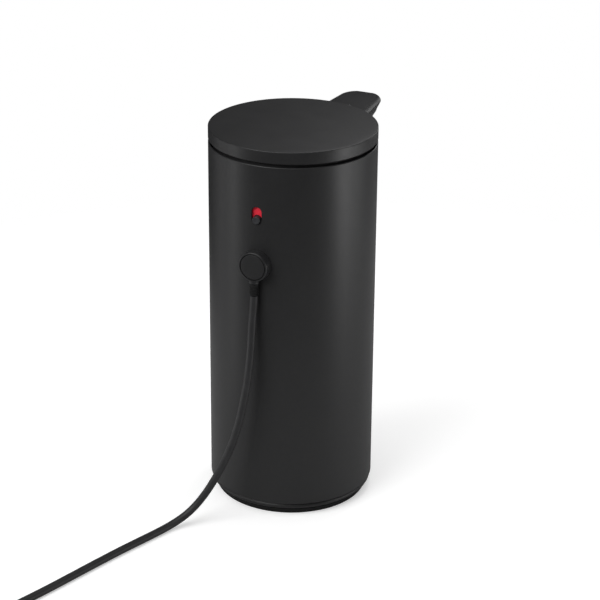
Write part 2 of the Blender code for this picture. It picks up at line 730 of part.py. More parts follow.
def smooth_route(route, step):
    """Return points at an even step along a smooth curve through a route's own points."""
    points = [Vector(point) for point in route]
    ends = [2 * points[0] - points[1]] + points + [2 * points[-1] - points[-2]]
    fine = []
    for before, start, end, after in zip(ends, ends[1:], ends[2:], ends[3:]):
        for index in range(20):
            t = index / 20
            fine.append(
                (2 * start + (end - before) * t + (2 * before - 5 * start + 4 * end - after) * t ** 2
                 + (3 * start - before - 3 * end + after) * t ** 3) / 2
            )
    fine.append(points[-1])
    lengths = numpy.cumsum([0] + [(b - a).length for a, b in zip(fine, fine[1:])])
    count = max(2, ceil(lengths[-1] / step))
    wanted = numpy.linspace(0, lengths[-1], count + 1)
    axes = [numpy.interp(wanted, lengths, [point[axis] for point in fine]) for axis in range(3)]
    return [Vector(place) for place in zip(*axes)]


def curve_tube(name, points, radius, resolution):
    """Return an unbroken round tube along points, with filled ends."""
    curve = bpy.data.curves.new(name, "CURVE")
    curve.dimensions = "3D"
    curve.bevel_depth = radius
    curve.bevel_resolution = resolution
    curve.use_fill_caps = True
    spline = curve.splines.new("POLY")
    spline.points.add(len(points) - 1)
    for target, place in zip(spline.points, points):
        target.co = (*place, 1)
    item = bpy.data.objects.new(name, curve)
    bpy.context.scene.collection.objects.link(item)
    return item


def hose(name, points, outer, inner, sides):
    """Return a hose with an open bore along points."""
    bm = bmesh.new()
    side_axis = Vector((1, 0, 0))
    rows = []
    for index, place in enumerate(points):
        ahead = points[min(index + 1, len(points) - 1)] - points[max(index - 1, 0)]
        ahead.normalize()
        side = (side_axis - ahead * side_axis.dot(ahead)).normalized()
        upward = ahead.cross(side)
        row = []
        for radius in (outer, inner):
            for step in range(sides):
                angle = 2 * pi * step / sides
                row.append(bm.verts.new(place + radius * (cos(angle) * side + sin(angle) * upward)))
        rows.append(row)
    for near, far in zip(rows, rows[1:]):
        for start in (0, sides):
            for step in range(sides):
                a = start + step
                b = start + (step + 1) % sides
                bm.faces.new((near[a], near[b], far[b], far[a]))
    for row in (rows[0], rows[-1]):
        for step in range(sides):
            after = (step + 1) % sides
            bm.faces.new((row[step], row[after], row[sides + after], row[sides + step]))
    return new_object(name, bm)


# Outer shell

def make_body_sleeve(black):
    """The round sleeve with the switch slot, the port hole and the spout's opening."""
    lip = [
        (BODY_RADIUS - SLEEVE_LIP * (1 - cos(angle)), SLEEVE_TOP - SLEEVE_LIP * (1 - sin(angle)))
        for angle in (0, pi / 8, pi / 4, 3 * pi / 8, pi / 2)
    ]
    inner_lip = BODY_RADIUS - SLEEVE_LIP
    profile = [(SLEEVE_INNER, SLEEVE_BOTTOM), (BODY_RADIUS, SLEEVE_BOTTOM)] + lip
    profile += [
        (inner_lip, SLEEVE_TOP - SLEEVE_LIP_DEPTH),
        (SLEEVE_INNER, SLEEVE_TOP - SLEEVE_LIP_DEPTH - SLEEVE_LIP / 2),
    ]
    sleeve = turned("body_sleeve", profile, LARGE_SIDES)
    slot = slot_cutter(SLOT_WIDTH / 2, SLOT_LENGTH / 2)
    port = rod(
        "port_hole", PORT_FACE_RADIUS + SEAT_GAP, (0, BOARD_REAR, PORT_Z),
        (0, BODY_RADIUS + OVERRUN, PORT_Z), MEDIUM_SIDES,
    )
    root = spout_loft(
        "root_hole", TANK_RADIUS - OVERRUN, -SEAT_GAP, BODY_RADIUS + OVERRUN,
    )
    return finish(cut(sleeve, slot, port, root), black)


def slot_cutter(half_width, half_length):
    """Return the upright slot's cutter, which runs through the back wall."""
    outline = rounded_outline(half_width, half_length, half_width - SEAT_GAP / 10, steps=6)
    slot = prism("slot", outline, 0, 2 * SLOT_WIDTH)
    slot.rotation_euler = (pi / 2, 0, 0)
    slot.location = (0, BODY_RADIUS + SLOT_WIDTH, SWITCH_Z)
    return slot


def make_foot_pad(rubber):
    """The rubber foot, a full disc with a tapered edge."""
    floor_radius = BODY_RADIUS - FOOT_INSET
    profile = [
        (0, 0),
        (floor_radius - FOOT_EDGE, 0),
        (floor_radius, FOOT_EDGE),
        (floor_radius + FOOT_TAPER, FOOT_HEIGHT),
        (0, FOOT_HEIGHT),
    ]
    return finish(turned("foot_pad", profile, LARGE_SIDES), rubber)


def make_base_plate(plastic):
    """The base with its spigot for the sleeve and its cradles for the motor and the cell."""
    rim = BODY_RADIUS - BASE_INSET
    spigot_inner = CARRIED_RADIUS - SPIGOT_WALL
    profile = [
        (0, BASE_BOTTOM),
        (rim - BASE_TAPER, BASE_BOTTOM),
        (rim, BASE_BOTTOM + BASE_TAPER),
        (rim, BASE_TOP),
        (CARRIED_RADIUS, BASE_TOP),
        (CARRIED_RADIUS, BASE_TOP + SPIGOT_HEIGHT),
        (spigot_inner, BASE_TOP + SPIGOT_HEIGHT),
        (spigot_inner, BASE_TOP),
        (0, BASE_TOP),
    ]
    base = turned("base_plate", profile, LARGE_SIDES)
    motor_centre = (DRIVE_X, PUMP_OFFSET_Y)
    cradle_inner = MOTOR_RADIUS + SEAT_GAP
    cradle_outer = cradle_inner + MOTOR_CRADLE_WALL
    root = BASE_TOP - BASE_THICKNESS / 2
    cradle = turned(
        "cradle",
        [
            (cradle_inner - MOTOR_LEDGE_WIDTH, root),
            (cradle_outer, root),
            (cradle_outer, BASE_TOP + MOTOR_CRADLE_HEIGHT),
            (cradle_inner, BASE_TOP + MOTOR_CRADLE_HEIGHT),
            (cradle_inner, BASE_TOP + MOTOR_LEDGE_HEIGHT),
            (cradle_inner - MOTOR_LEDGE_WIDTH, BASE_TOP + MOTOR_LEDGE_HEIGHT),
        ],
        MEDIUM_SIDES, motor_centre,
    )
    cup = ring(
        "cup", CELL_RADIUS + SEAT_GAP, CELL_CUP_RADIUS, root, BASE_TOP + CELL_CUP_DEPTH,
        (CELL_X, CELL_Y), MEDIUM_SIDES,
    )
    base = fuse(base, cradle, cup)
    cutters = []
    for place in post_places():
        head = BASE_SCREW_RADIUS + SCREW_HEAD_OVERHANG + SEAT_GAP
        head_top = BASE_BOTTOM + SCREW_HEAD_HEIGHT + 2 * SEAT_GAP
        cutters.append(cylinder("head", head, BASE_BOTTOM - OVERRUN, head_top, place, SMALL_SIDES))
        cutters.append(cylinder(
            "hole", BASE_SCREW_RADIUS + SEAT_GAP, BASE_BOTTOM, BASE_TOP + OVERRUN, place, SMALL_SIDES,
        ))
    return finish(cut(base, *cutters), plastic)


def make_base_screws(steel):
    """The screws that hold the base to the frame's posts."""
    head_bottom = BASE_BOTTOM + SEAT_GAP
    for number, place in enumerate(post_places(), start=1):
        finish(screw(
            f"base_screw_{number}", place, head_bottom, SCREW_HEAD_HEIGHT,
            BASE_SCREW_RADIUS + SCREW_HEAD_OVERHANG, BASE_SCREW_RADIUS, head_bottom + BASE_SCREW_LENGTH,
        ), steel)


def make_core_frame(plastic):
    """The frame: three posts, the deck that carries pump and tank, and the cell's upper cup."""
    frame = cylinder("core_frame", CARRIED_RADIUS, FRAME_BOTTOM, FRAME_TOP, sides=HIDDEN_SIDES)
    middle = (FRAME_BOTTOM + FRAME_TOP) / 2
    posts = [
        cylinder("post", POST_RADIUS, BASE_TOP + SEAT_GAP, middle, place, SMALL_SIDES)
        for place in post_places()
    ]
    cell_seat = CELL_TOP + SEAT_GAP + TAB_THICKNESS + SEAT_GAP
    cup = turned(
        "cup",
        [
            (0, cell_seat),
            (CELL_RADIUS + SEAT_GAP, cell_seat),
            (CELL_RADIUS + SEAT_GAP, CELL_TOP - CELL_CUP_DEPTH),
            (CELL_CUP_RADIUS, CELL_TOP - CELL_CUP_DEPTH),
            (CELL_CUP_RADIUS, middle),
            (0, middle),
        ],
        MEDIUM_SIDES, (CELL_X, CELL_Y),
    )
    frame = fuse(frame, *posts, cup)
    inlet = cylinder(
        "inlet", NIPPLE_RADIUS + SEAT_GAP + GROMMET_WALL + SEAT_GAP, FRAME_BOTTOM - OVERRUN,
        FRAME_TOP + OVERRUN, inlet_place(), MEDIUM_SIDES,
    )
    half = CHANNEL_WIDTH / 2
    front = box(
        "front", (-half, -CARRIED_RADIUS - OVERRUN, FRAME_BOTTOM - OVERRUN),
        (half, -CHANNEL_FLOOR + HOSE_RADIUS, FRAME_TOP + OVERRUN),
    )
    back = box(
        "back", (-half, BOARD_FRONT, FRAME_BOTTOM - OVERRUN),
        (half, CARRIED_RADIUS + OVERRUN, FRAME_TOP + OVERRUN),
    )
    cutters = [inlet, front, back]
    for place in post_places():
        cutters.append(cylinder(
            "pilot", BASE_SCREW_RADIUS + SEAT_GAP, BASE_TOP,
            BASE_BOTTOM + BASE_SCREW_LENGTH + 3 * SEAT_GAP, place, SMALL_SIDES,
        ))
    for place in pump_screw_places():
        cutters.append(cylinder(
            "through", PUMP_SCREW_RADIUS + SEAT_GAP, FRAME_BOTTOM - OVERRUN, FRAME_TOP, place, SMALL_SIDES,
        ))
        cutters.append(cylinder(
            "sink", PUMP_SCREW_RADIUS + SCREW_HEAD_OVERHANG + SEAT_GAP,
            FRAME_TOP - SCREW_HEAD_HEIGHT - 2 * SEAT_GAP, FRAME_TOP + OVERRUN, place, SMALL_SIDES,
        ))
    return finish(cut(frame, *cutters), plastic)


# Tank, filler and lid

def make_soap_tank(clear):
    """The soap tank, with its flat back, the hose channel and the board's bosses."""
    tank = prism("soap_tank", tank_outline(), TANK_BOTTOM, TANK_TOP)
    hollow = prism(
        "hollow", tank_outline(TANK_WALL), TANK_BOTTOM + TANK_FLOOR, TANK_TOP + OVERRUN,
    )
    bosses = [
        rod("boss", BOSS_RADIUS, (x, TANK_FLAT - TANK_WALL / 2, z), (x, BOARD_FRONT - SEAT_GAP, z))
        for x, z in board_screw_places()
    ]
    tank = fuse(cut(tank, hollow), *bosses)
    cutters = [
        rod(
            "pilot", BOARD_SCREW_RADIUS + SEAT_GAP,
            (x, BOARD_FRONT - BOSS_SCREW_DEPTH - 2 * SEAT_GAP, z), (x, BOARD_FRONT, z),
        )
        for x, z in board_screw_places()
    ]
    cutters.append(cylinder(
        "outlet", NIPPLE_RADIUS + SEAT_GAP + GROMMET_WALL + SEAT_GAP, TANK_BOTTOM - OVERRUN,
        TANK_BOTTOM + TANK_FLOOR + OVERRUN, inlet_place(), MEDIUM_SIDES,
    ))
    return finish(cut(tank, *cutters), clear)


def make_tank_gasket(rubber):
    """The flat gasket between the tank's rim and the top deck."""
    gasket = prism("tank_gasket", tank_outline(), GASKET_BOTTOM, GASKET_BOTTOM + GASKET_HEIGHT)
    hollow = prism(
        "hollow", tank_outline(TANK_WALL), GASKET_BOTTOM - OVERRUN,
        GASKET_BOTTOM + GASKET_HEIGHT + OVERRUN,
    )
    return finish(cut(gasket, hollow), rubber)


def make_top_deck(plastic):
    """The deck that closes the tank, with the filler funnel and the collar under the lid."""
    ring_top = TOP_DECK_BOTTOM + DECK_RING_HEIGHT
    profile = [
        (FILLER_RADIUS, TOP_DECK_BOTTOM),
        (CARRIED_RADIUS, TOP_DECK_BOTTOM),
        (CARRIED_RADIUS, ring_top),
        (COLLAR_RADIUS, ring_top + DECK_RING_CHAMFER),
        (COLLAR_RADIUS, COLLAR_TOP),
        (COLLAR_RADIUS - COLLAR_WALL, COLLAR_TOP),
        (COLLAR_RADIUS - COLLAR_WALL, DECK_TOP),
        (FUNNEL_RADIUS, DECK_TOP),
        (FILLER_RADIUS, FUNNEL_BOTTOM),
    ]
    return finish(turned("top_deck", profile, HIDDEN_SIDES), plastic)


def make_lid(black, plastic, rubber, steel):
    """The lid's cap, its liner with the plug, the seal, and the hinge pin."""
    edge = [
        (BODY_RADIUS - LID_EDGE * (1 - cos(angle)), BODY_HEIGHT - LID_EDGE * (1 - sin(angle)))
        for angle in (0, pi / 4, pi / 2)
    ]
    profile = [
        (0, LID_CEILING), (SKIRT_INNER, LID_CEILING), (SKIRT_INNER, LID_BOTTOM),
        (BODY_RADIUS - LID_EDGE / 2, LID_BOTTOM), (BODY_RADIUS, LID_BOTTOM + LID_EDGE / 2),
    ]
    cap = turned("lid_cap", profile + edge + [(0, BODY_HEIGHT)], LARGE_SIDES)
    half = KNUCKLE_WIDTH / 2
    knuckle = rod("knuckle", KNUCKLE_RADIUS, (-half, HINGE_Y, HINGE_Z), (half, HINGE_Y, HINGE_Z))
    tongue = box(
        "tongue", (-half, HINGE_Y, LID_BOTTOM + LID_EDGE / 2),
        (half, -SKIRT_INNER - LID_SKIRT_WALL / 3, HINGE_Z + KNUCKLE_RADIUS - TONGUE_TOP_DROP),
    )
    bore = rod(
        "bore", HINGE_PIN_RADIUS + SEAT_GAP, (-half - OVERRUN, HINGE_Y, HINGE_Z),
        (half + OVERRUN, HINGE_Y, HINGE_Z),
    )
    cap = finish(cut(fuse(cap, tongue, knuckle), bore), black)

    plug = FILLER_RADIUS - PLUG_CLEARANCE
    plug_bottom = LINER_BOTTOM - PLUG_DEPTH
    seal_top = LINER_BOTTOM - LINER_PLATE + SEAT_GAP
    shoulder = plug + SEAL_SHOULDER + SEAL_LIP
    liner_profile = [
        (0, plug_bottom),
        (plug, plug_bottom),
        (plug, seal_top),
        (shoulder, seal_top),
        (shoulder, LINER_BOTTOM),
        (SKIRT_INNER - SEAT_GAP, LINER_BOTTOM),
        (SKIRT_INNER - SEAT_GAP, LINER_TOP),
        (plug - PLUG_WALL, LINER_TOP),
        (plug - PLUG_WALL, plug_bottom + PLUG_WALL),
        (0, plug_bottom + PLUG_WALL),
    ]
    liner = finish(turned("lid_liner", liner_profile, HIDDEN_SIDES), plastic)

    top = seal_top - SEAT_GAP
    slope = FUNNEL_FLARE / FUNNEL_HEIGHT
    lip_bottom = top - SEAL_LIP
    lip_radius = FILLER_RADIUS + (lip_bottom - FUNNEL_BOTTOM) * slope - SEAL_SEAT * hypot(1, slope)
    low = top - SEAL_HEIGHT
    low_radius = FILLER_RADIUS + (low - FUNNEL_BOTTOM) * slope - SEAL_SEAT * hypot(1, slope)
    seal_profile = [
        (plug + SEAT_GAP, low), (low_radius, low), (lip_radius, lip_bottom), (lip_radius, top),
        (plug + SEAT_GAP, top),
    ]
    seal = finish(turned("lid_seal", seal_profile, HIDDEN_SIDES), rubber)

    reach = half + SEAT_GAP + EAR_WIDTH
    pin = rod("hinge_pin", HINGE_PIN_RADIUS, (-reach, HINGE_Y, HINGE_Z), (reach, HINGE_Y, HINGE_Z))
    finish(pin, steel)
    hang_on("lid_hinge_axis", (0, HINGE_Y, HINGE_Z), [cap, liner, seal])


# Spout, nozzle and sensor

def make_spout_shell(black):
    """The hollow spout with its flange behind the sleeve and the ears of the lid's hinge."""
    inner = TANK_RADIUS + SEAT_GAP
    spout = spout_loft("spout_shell", inner - OVERRUN)
    half_angle = asin((spout_half_width(BODY_RADIUS) + FLANGE_MARGIN) / inner)
    steps = SMALL_SIDES
    angles = [-pi / 2 - half_angle + 2 * half_angle * step / steps for step in range(steps + 1)]
    outer_arc = [polar(CARRIED_RADIUS, angle) for angle in angles]
    inner_arc = [polar(CARRIED_RADIUS - FLANGE_THICKNESS, angle) for angle in reversed(angles)]
    flange_bottom = SPOUT_TOP - spout_depth(BODY_RADIUS) - FLANGE_MARGIN
    flange = prism("flange", outer_arc + inner_arc, flange_bottom, FLANGE_TOP)
    ears = []
    for side in (-1, 1):
        near = side * (KNUCKLE_WIDTH / 2 + SEAT_GAP)
        far = side * (KNUCKLE_WIDTH / 2 + SEAT_GAP + EAR_WIDTH)
        low_x, high_x = min(near, far), max(near, far)
        ears.append(rod("ear", KNUCKLE_RADIUS, (low_x, HINGE_Y, HINGE_Z), (high_x, HINGE_Y, HINGE_Z)))
        ears.append(box(
            "leg", (low_x, HINGE_Y - KNUCKLE_RADIUS, SPOUT_TOP - SPOUT_WALL / 2),
            (high_x, HINGE_Y + KNUCKLE_RADIUS, HINGE_Z),
        ))
    hollow = spout_loft("hollow", inner - 2 * OVERRUN, SPOUT_WALL)
    core = cylinder(
        "core", TANK_RADIUS + SEAT_GAP, SPOUT_TOP - 2 * SPOUT_DEPTH_GAIN, BODY_HEIGHT, sides=LARGE_SIDES,
    )
    deck_room = cylinder(
        "deck_room", CARRIED_RADIUS + SEAT_GAP, FLANGE_TOP, BODY_HEIGHT, sides=LARGE_SIDES,
    )
    reach = KNUCKLE_WIDTH / 2 + EAR_WIDTH + OVERRUN
    bore = rod(
        "bore", HINGE_PIN_RADIUS + SEAT_GAP, (-reach, HINGE_Y, HINGE_Z), (reach, HINGE_Y, HINGE_Z),
    )
    outlet = cylinder(
        "outlet", TIP_RADIUS + SEAT_GAP, SPOUT_TOP - SPOUT_DEPTH_GAIN,
        SPOUT_TOP - SPOUT_TIP_DEPTH / 2, (0, -NOZZLE_REACH),
    )
    window = window_prism(SEAT_GAP, SPOUT_TOP - SPOUT_TIP_DEPTH)
    spout = fuse(cut(spout, core), flange, *ears)
    return finish(cut(spout, hollow, deck_room, bore, outlet, window), black)


def window_prism(margin, top):
    """Return an upright prism of the sensor window's outline, wider by a margin."""
    outline = rounded_outline(
        SENSOR_WINDOW_WIDTH / 2 + margin, SENSOR_WINDOW_LENGTH / 2 + margin,
        SENSOR_WINDOW_LENGTH / 3, (0, -SENSOR_REACH),
    )
    return prism("sensor_window", outline, SPOUT_TOP - 2 * SPOUT_DEPTH_GAIN, top)


def make_nozzle(plastic, silicone):
    """The elbow inside the spout's nose and the silicone tip below it."""
    centre = (0, -NOZZLE_REACH)
    hose_z = SPOUT_TOP - SPOUT_WALL - HOSE_RADIUS - SEAT_GAP
    elbow = cylinder("nozzle_elbow", ELBOW_RADIUS, hose_z - SPOUT_TIP_DEPTH, SPOUT_TOP, centre)
    room = spout_loft("room", BODY_RADIUS, SPOUT_WALL + SEAT_GAP)
    stub_end = NOZZLE_REACH - ELBOW_RADIUS - STUB_LENGTH
    stub = rod("stub", STUB_RADIUS, (0, -NOZZLE_REACH, hose_z), (0, -stub_end, hose_z))
    drop = cylinder("drop", BORE_RADIUS, hose_z - SPOUT_TIP_DEPTH, hose_z, centre, SMALL_SIDES)
    feed = rod(
        "feed", BORE_RADIUS, (0, -NOZZLE_REACH - BORE_RADIUS / 2, hose_z),
        (0, -stub_end + OVERRUN, hose_z),
    )
    finish(cut(fuse(keep_inside(elbow, room), stub), drop, feed), plastic)
    outer = SPOUT_TOP - spout_depth(NOZZLE_REACH)
    tip = ring(
        "nozzle_tip", BORE_RADIUS, TIP_RADIUS, outer - TIP_DROP,
        SPOUT_TOP - spout_depth(NOZZLE_REACH - ELBOW_RADIUS) + SPOUT_WALL, centre,
    )
    return finish(tip, silicone)


def make_sensor(glass, board_green):
    """The sensor's window in the spout's underside and its board with the two domes."""
    window = window_prism(0, SPOUT_TOP - SPOUT_TIP_DEPTH)
    skin = spout_loft("skin", BODY_RADIUS)
    above = spout_loft("above", BODY_RADIUS, SPOUT_WALL + SENSOR_WINDOW_RAISE)
    finish(cut(keep_inside(window, skin), above), glass)
    bottom = SPOUT_TOP - spout_depth(SENSOR_REACH) + SPOUT_WALL + SENSOR_BOARD_RISE
    drop_share = (SPOUT_TOP - bottom) / spout_depth(SENSOR_REACH)
    top_half = spout_half_width(SENSOR_REACH + SENSOR_BOARD_LENGTH / 2)
    half = top_half * (1 - (1 - SPOUT_BELLY_SHARE) * drop_share) - SPOUT_WALL - 2 * SEAT_GAP
    board = box(
        "sensor_board", (-half, -SENSOR_REACH - SENSOR_BOARD_LENGTH / 2, bottom),
        (half, -SENSOR_REACH + SENSOR_BOARD_LENGTH / 2, bottom + SENSOR_BOARD_THICKNESS),
    )
    domes = []
    for side in (-1, 1):
        place = (side * LED_SPACING / 2, -SENSOR_REACH)
        top = bottom + SENSOR_BOARD_THICKNESS / 2
        profile = [
            (0, bottom - LED_HEIGHT),
            (LED_RADIUS / 2, bottom - LED_HEIGHT + LED_RADIUS / 8),
            (LED_RADIUS, bottom - LED_HEIGHT + LED_RADIUS / 2),
            (LED_RADIUS, top),
            (0, top),
        ]
        domes.append(turned("dome", profile, SMALL_SIDES, place))
    finish(fuse(board, *domes), board_green)


def make_delivery_tube(silicone):
    """The hose from the pump's outlet, up the tank's channel and along the spout."""
    outlet_y = PUMP_OFFSET_Y - PUMP_HALF_Y
    outlet_z = GEAR_BOTTOM + GEAR_HEIGHT / 2
    hose_z = SPOUT_TOP - SPOUT_WALL - HOSE_RADIUS - SEAT_GAP
    bend_z = FLANGE_TOP - HOSE_BEND - HOSE_RADIUS - HOSE_SPOUT_RISE
    lead_end = outlet_y - STUB_LENGTH - HOSE_RADIUS
    middle_y = (lead_end + HOSE_Y) / 2
    route = [
        (PUMP_OFFSET_X, outlet_y - SEAT_GAP, outlet_z),
        (PUMP_OFFSET_X, outlet_y - STUB_LENGTH, outlet_z),
        (PUMP_OFFSET_X, lead_end, outlet_z),
        (4 * PUMP_OFFSET_X / 5, middle_y, outlet_z + HOSE_RADIUS / 3),
        (PUMP_OFFSET_X / 3, HOSE_Y + HOSE_RADIUS, outlet_z + 2 * HOSE_RADIUS),
        (0, HOSE_Y, outlet_z + 4 * HOSE_RADIUS),
        (0, HOSE_Y, outlet_z + 7 * HOSE_RADIUS),
        (0, HOSE_Y, (outlet_z + bend_z) / 2),
    ]
    for step in range(4):
        angle = step * pi / 8
        route.append((0, HOSE_Y - HOSE_BEND * (1 - cos(angle)), bend_z + HOSE_BEND * sin(angle)))
    end = NOZZLE_REACH - ELBOW_RADIUS - SEAT_GAP
    rise_end = SENSOR_REACH - HOSE_RADIUS / 2
    route.append((0, (route[-1][1] - rise_end) / 2, (route[-1][2] + hose_z) / 2 + HOSE_RADIUS / 3))
    route.append((0, -rise_end, hose_z))
    route.append((0, -(end - HOSE_RADIUS), hose_z))
    route.append((0, -end, hose_z))
    points = smooth_route(route, 2 * HOSE_RADIUS)
    return finish(hose("delivery_tube", points, HOSE_RADIUS, HOSE_RADIUS - HOSE_WALL, HOSE_SIDES), silicone)


# Gear pump

def inlet_place():
    """Return where the soap comes down into the pump, at the back of the gears' mesh."""
    return (PUMP_OFFSET_X, PUMP_OFFSET_Y + sqrt(CHAMBER_RADIUS ** 2 - (GEAR_CENTRES / 2) ** 2))


def pump_screw_places():
    """Return the two screw places at opposite corners of the pump."""
    return [
        (
            PUMP_OFFSET_X + side * (PUMP_HALF_X - PUMP_SCREW_INSET),
            PUMP_OFFSET_Y + side * (PUMP_HALF_Y - PUMP_SCREW_INSET),
        )
        for side in (-1, 1)
    ]


def make_pump_housing(plastic, steel, rubber):
    """The pump's body with its chamber, the cover, the screws, the shaft seal and the idler's pin."""
    drive = (DRIVE_X, PUMP_OFFSET_Y)
    idler = (IDLER_X, PUMP_OFFSET_Y)
    middle = (PUMP_OFFSET_X, PUMP_OFFSET_Y)
    outline = rounded_outline(PUMP_HALF_X, PUMP_HALF_Y, PUMP_CORNER, middle)
    body = prism("pump_body", outline, PUMP_BOTTOM, PUMP_TOP)
    skirt_inner = MOTOR_RADIUS + SEAT_GAP
    skirt = ring(
        "skirt", skirt_inner, skirt_inner + SKIRT_WALL, MOTOR_TOP - SKIRT_DEPTH,
        PUMP_BOTTOM + SKIRT_FLANGE, drive,
    )
    outlet_y = PUMP_OFFSET_Y - sqrt(CHAMBER_RADIUS ** 2 - (GEAR_CENTRES / 2) ** 2)
    outlet_z = GEAR_BOTTOM + GEAR_HEIGHT / 2
    front_y = PUMP_OFFSET_Y - PUMP_HALF_Y
    nipple = rod(
        "nipple", STUB_RADIUS, (PUMP_OFFSET_X, front_y + PUMP_WALL_Y / 2, outlet_z),
        (PUMP_OFFSET_X, front_y - STUB_LENGTH, outlet_z),
    )
    body = fuse(body, skirt, nipple)
    chamber = fuse(
        cylinder("chamber", CHAMBER_RADIUS, CHAMBER_FLOOR, PUMP_TOP + OVERRUN, drive),
        cylinder("second", CHAMBER_RADIUS, CHAMBER_FLOOR, PUMP_TOP + OVERRUN, idler),
        cylinder("inlet", PORT_RADIUS, CHAMBER_FLOOR, PUMP_TOP + OVERRUN, inlet_place(), SMALL_SIDES),
        cylinder(
            "outlet", PORT_RADIUS, CHAMBER_FLOOR, PUMP_TOP + OVERRUN, (PUMP_OFFSET_X, outlet_y), SMALL_SIDES,
        ),
    )
    feed = rod(
        "feed", BORE_RADIUS, (PUMP_OFFSET_X, outlet_y, outlet_z),
        (PUMP_OFFSET_X, front_y - STUB_LENGTH - OVERRUN, outlet_z),
    )
    shaft_hole = cylinder(
        "shaft_hole", SHAFT_RADIUS + SEAT_GAP, PUMP_BOTTOM - OVERRUN, GEAR_BOTTOM, drive, SMALL_SIDES,
    )
    seal_room = cylinder(
        "seal_room", SEAL_RADIUS + SEAT_GAP, PUMP_BOTTOM - OVERRUN,
        PUMP_BOTTOM + SHAFT_SEAL_HEIGHT + 2 * SEAT_GAP, drive, SMALL_SIDES,
    )
    pin_hole = cylinder(
        "pin_hole", SHAFT_RADIUS + SEAT_GAP, PUMP_BOTTOM + PUMP_FLOOR / 2, GEAR_BOTTOM, idler, SMALL_SIDES,
    )
    pilots = [
        cylinder(
            "pilot", PUMP_SCREW_RADIUS + SEAT_GAP, PUMP_TOP - PUMP_SCREW_DEPTH - SEAT_GAP,
            PUMP_TOP + OVERRUN, place, SMALL_SIDES,
        )
        for place in pump_screw_places()
    ]
    finish(cut(body, chamber, feed, shaft_hole, seal_room, pin_hole, *pilots), plastic)

    cover = prism("pump_cover", outline, COVER_BOTTOM, COVER_TOP)
    cover = fuse(cover, cylinder(
        "nipple", NIPPLE_RADIUS, COVER_BOTTOM + COVER_THICKNESS / 2, COVER_TOP + NIPPLE_HEIGHT,
        inlet_place(),
    ))
    holes = [
        cylinder(
            "hole", PUMP_SCREW_RADIUS + SEAT_GAP, COVER_BOTTOM - OVERRUN, COVER_TOP + OVERRUN, place,
            SMALL_SIDES,
        )
        for place in pump_screw_places()
    ]
    holes.append(cylinder(
        "bore", NIPPLE_BORE, COVER_BOTTOM - OVERRUN, COVER_TOP + NIPPLE_HEIGHT + OVERRUN,
        inlet_place(), SMALL_SIDES,
    ))
    finish(cut(cover, *holes), plastic)

    head_bottom = FRAME_TOP - SCREW_HEAD_HEIGHT - SEAT_GAP
    for number, place in enumerate(pump_screw_places(), start=1):
        finish(screw(
            f"pump_screw_{number}", place, head_bottom, SCREW_HEAD_HEIGHT,
            PUMP_SCREW_RADIUS + SCREW_HEAD_OVERHANG, PUMP_SCREW_RADIUS, PUMP_TOP - PUMP_SCREW_DEPTH,
        ), steel)
    seal_bottom = PUMP_BOTTOM + SEAT_GAP
    finish(ring(
        "shaft_seal", SHAFT_RADIUS + SEAT_GAP, SEAL_RADIUS, seal_bottom,
        seal_bottom + SHAFT_SEAL_HEIGHT, drive, SMALL_SIDES,
    ), rubber)
    finish(cylinder(
        "idler_pin", SHAFT_RADIUS, PUMP_BOTTOM + PUMP_FLOOR / 2 + SEAT_GAP, PUMP_TOP, idler, SMALL_SIDES,
    ), steel)


def make_inlet_grommet(rubber):
    """The grommet that seals the tank's outlet round the pump's nipple."""
    inner = NIPPLE_RADIUS + SEAT_GAP
    body = inner + GROMMET_WALL
    floor = TANK_BOTTOM + TANK_FLOOR + SEAT_GAP
    profile = [
        (inner, COVER_TOP + SEAT_GAP),
        (body, COVER_TOP + SEAT_GAP),
        (body, floor),
        (body + GROMMET_FLANGE, floor),
        (body + GROMMET_FLANGE, floor + GROMMET_HEAD),
        (inner, floor + GROMMET_HEAD),
    ]
    return finish(turned("inlet_grommet", profile, MEDIUM_SIDES, inlet_place()), rubber)


def make_gear(name, centre, turn, steel):
    """One of the pump's two gears, turned so that their teeth mesh."""
    gear = prism(name, gear_outline(), GEAR_BOTTOM, GEAR_BOTTOM + GEAR_HEIGHT)
    bore = cylinder(
        "bore", SHAFT_RADIUS + SEAT_GAP, GEAR_BOTTOM - OVERRUN, GEAR_BOTTOM + GEAR_HEIGHT + OVERRUN,
        sides=SMALL_SIDES,
    )
    cut(gear, bore)
    gear.data.transform(Matrix.Rotation(turn, 4, "Z"))
    gear.location = (centre[0], centre[1], 0)
    return finish(gear, steel)


# Motor

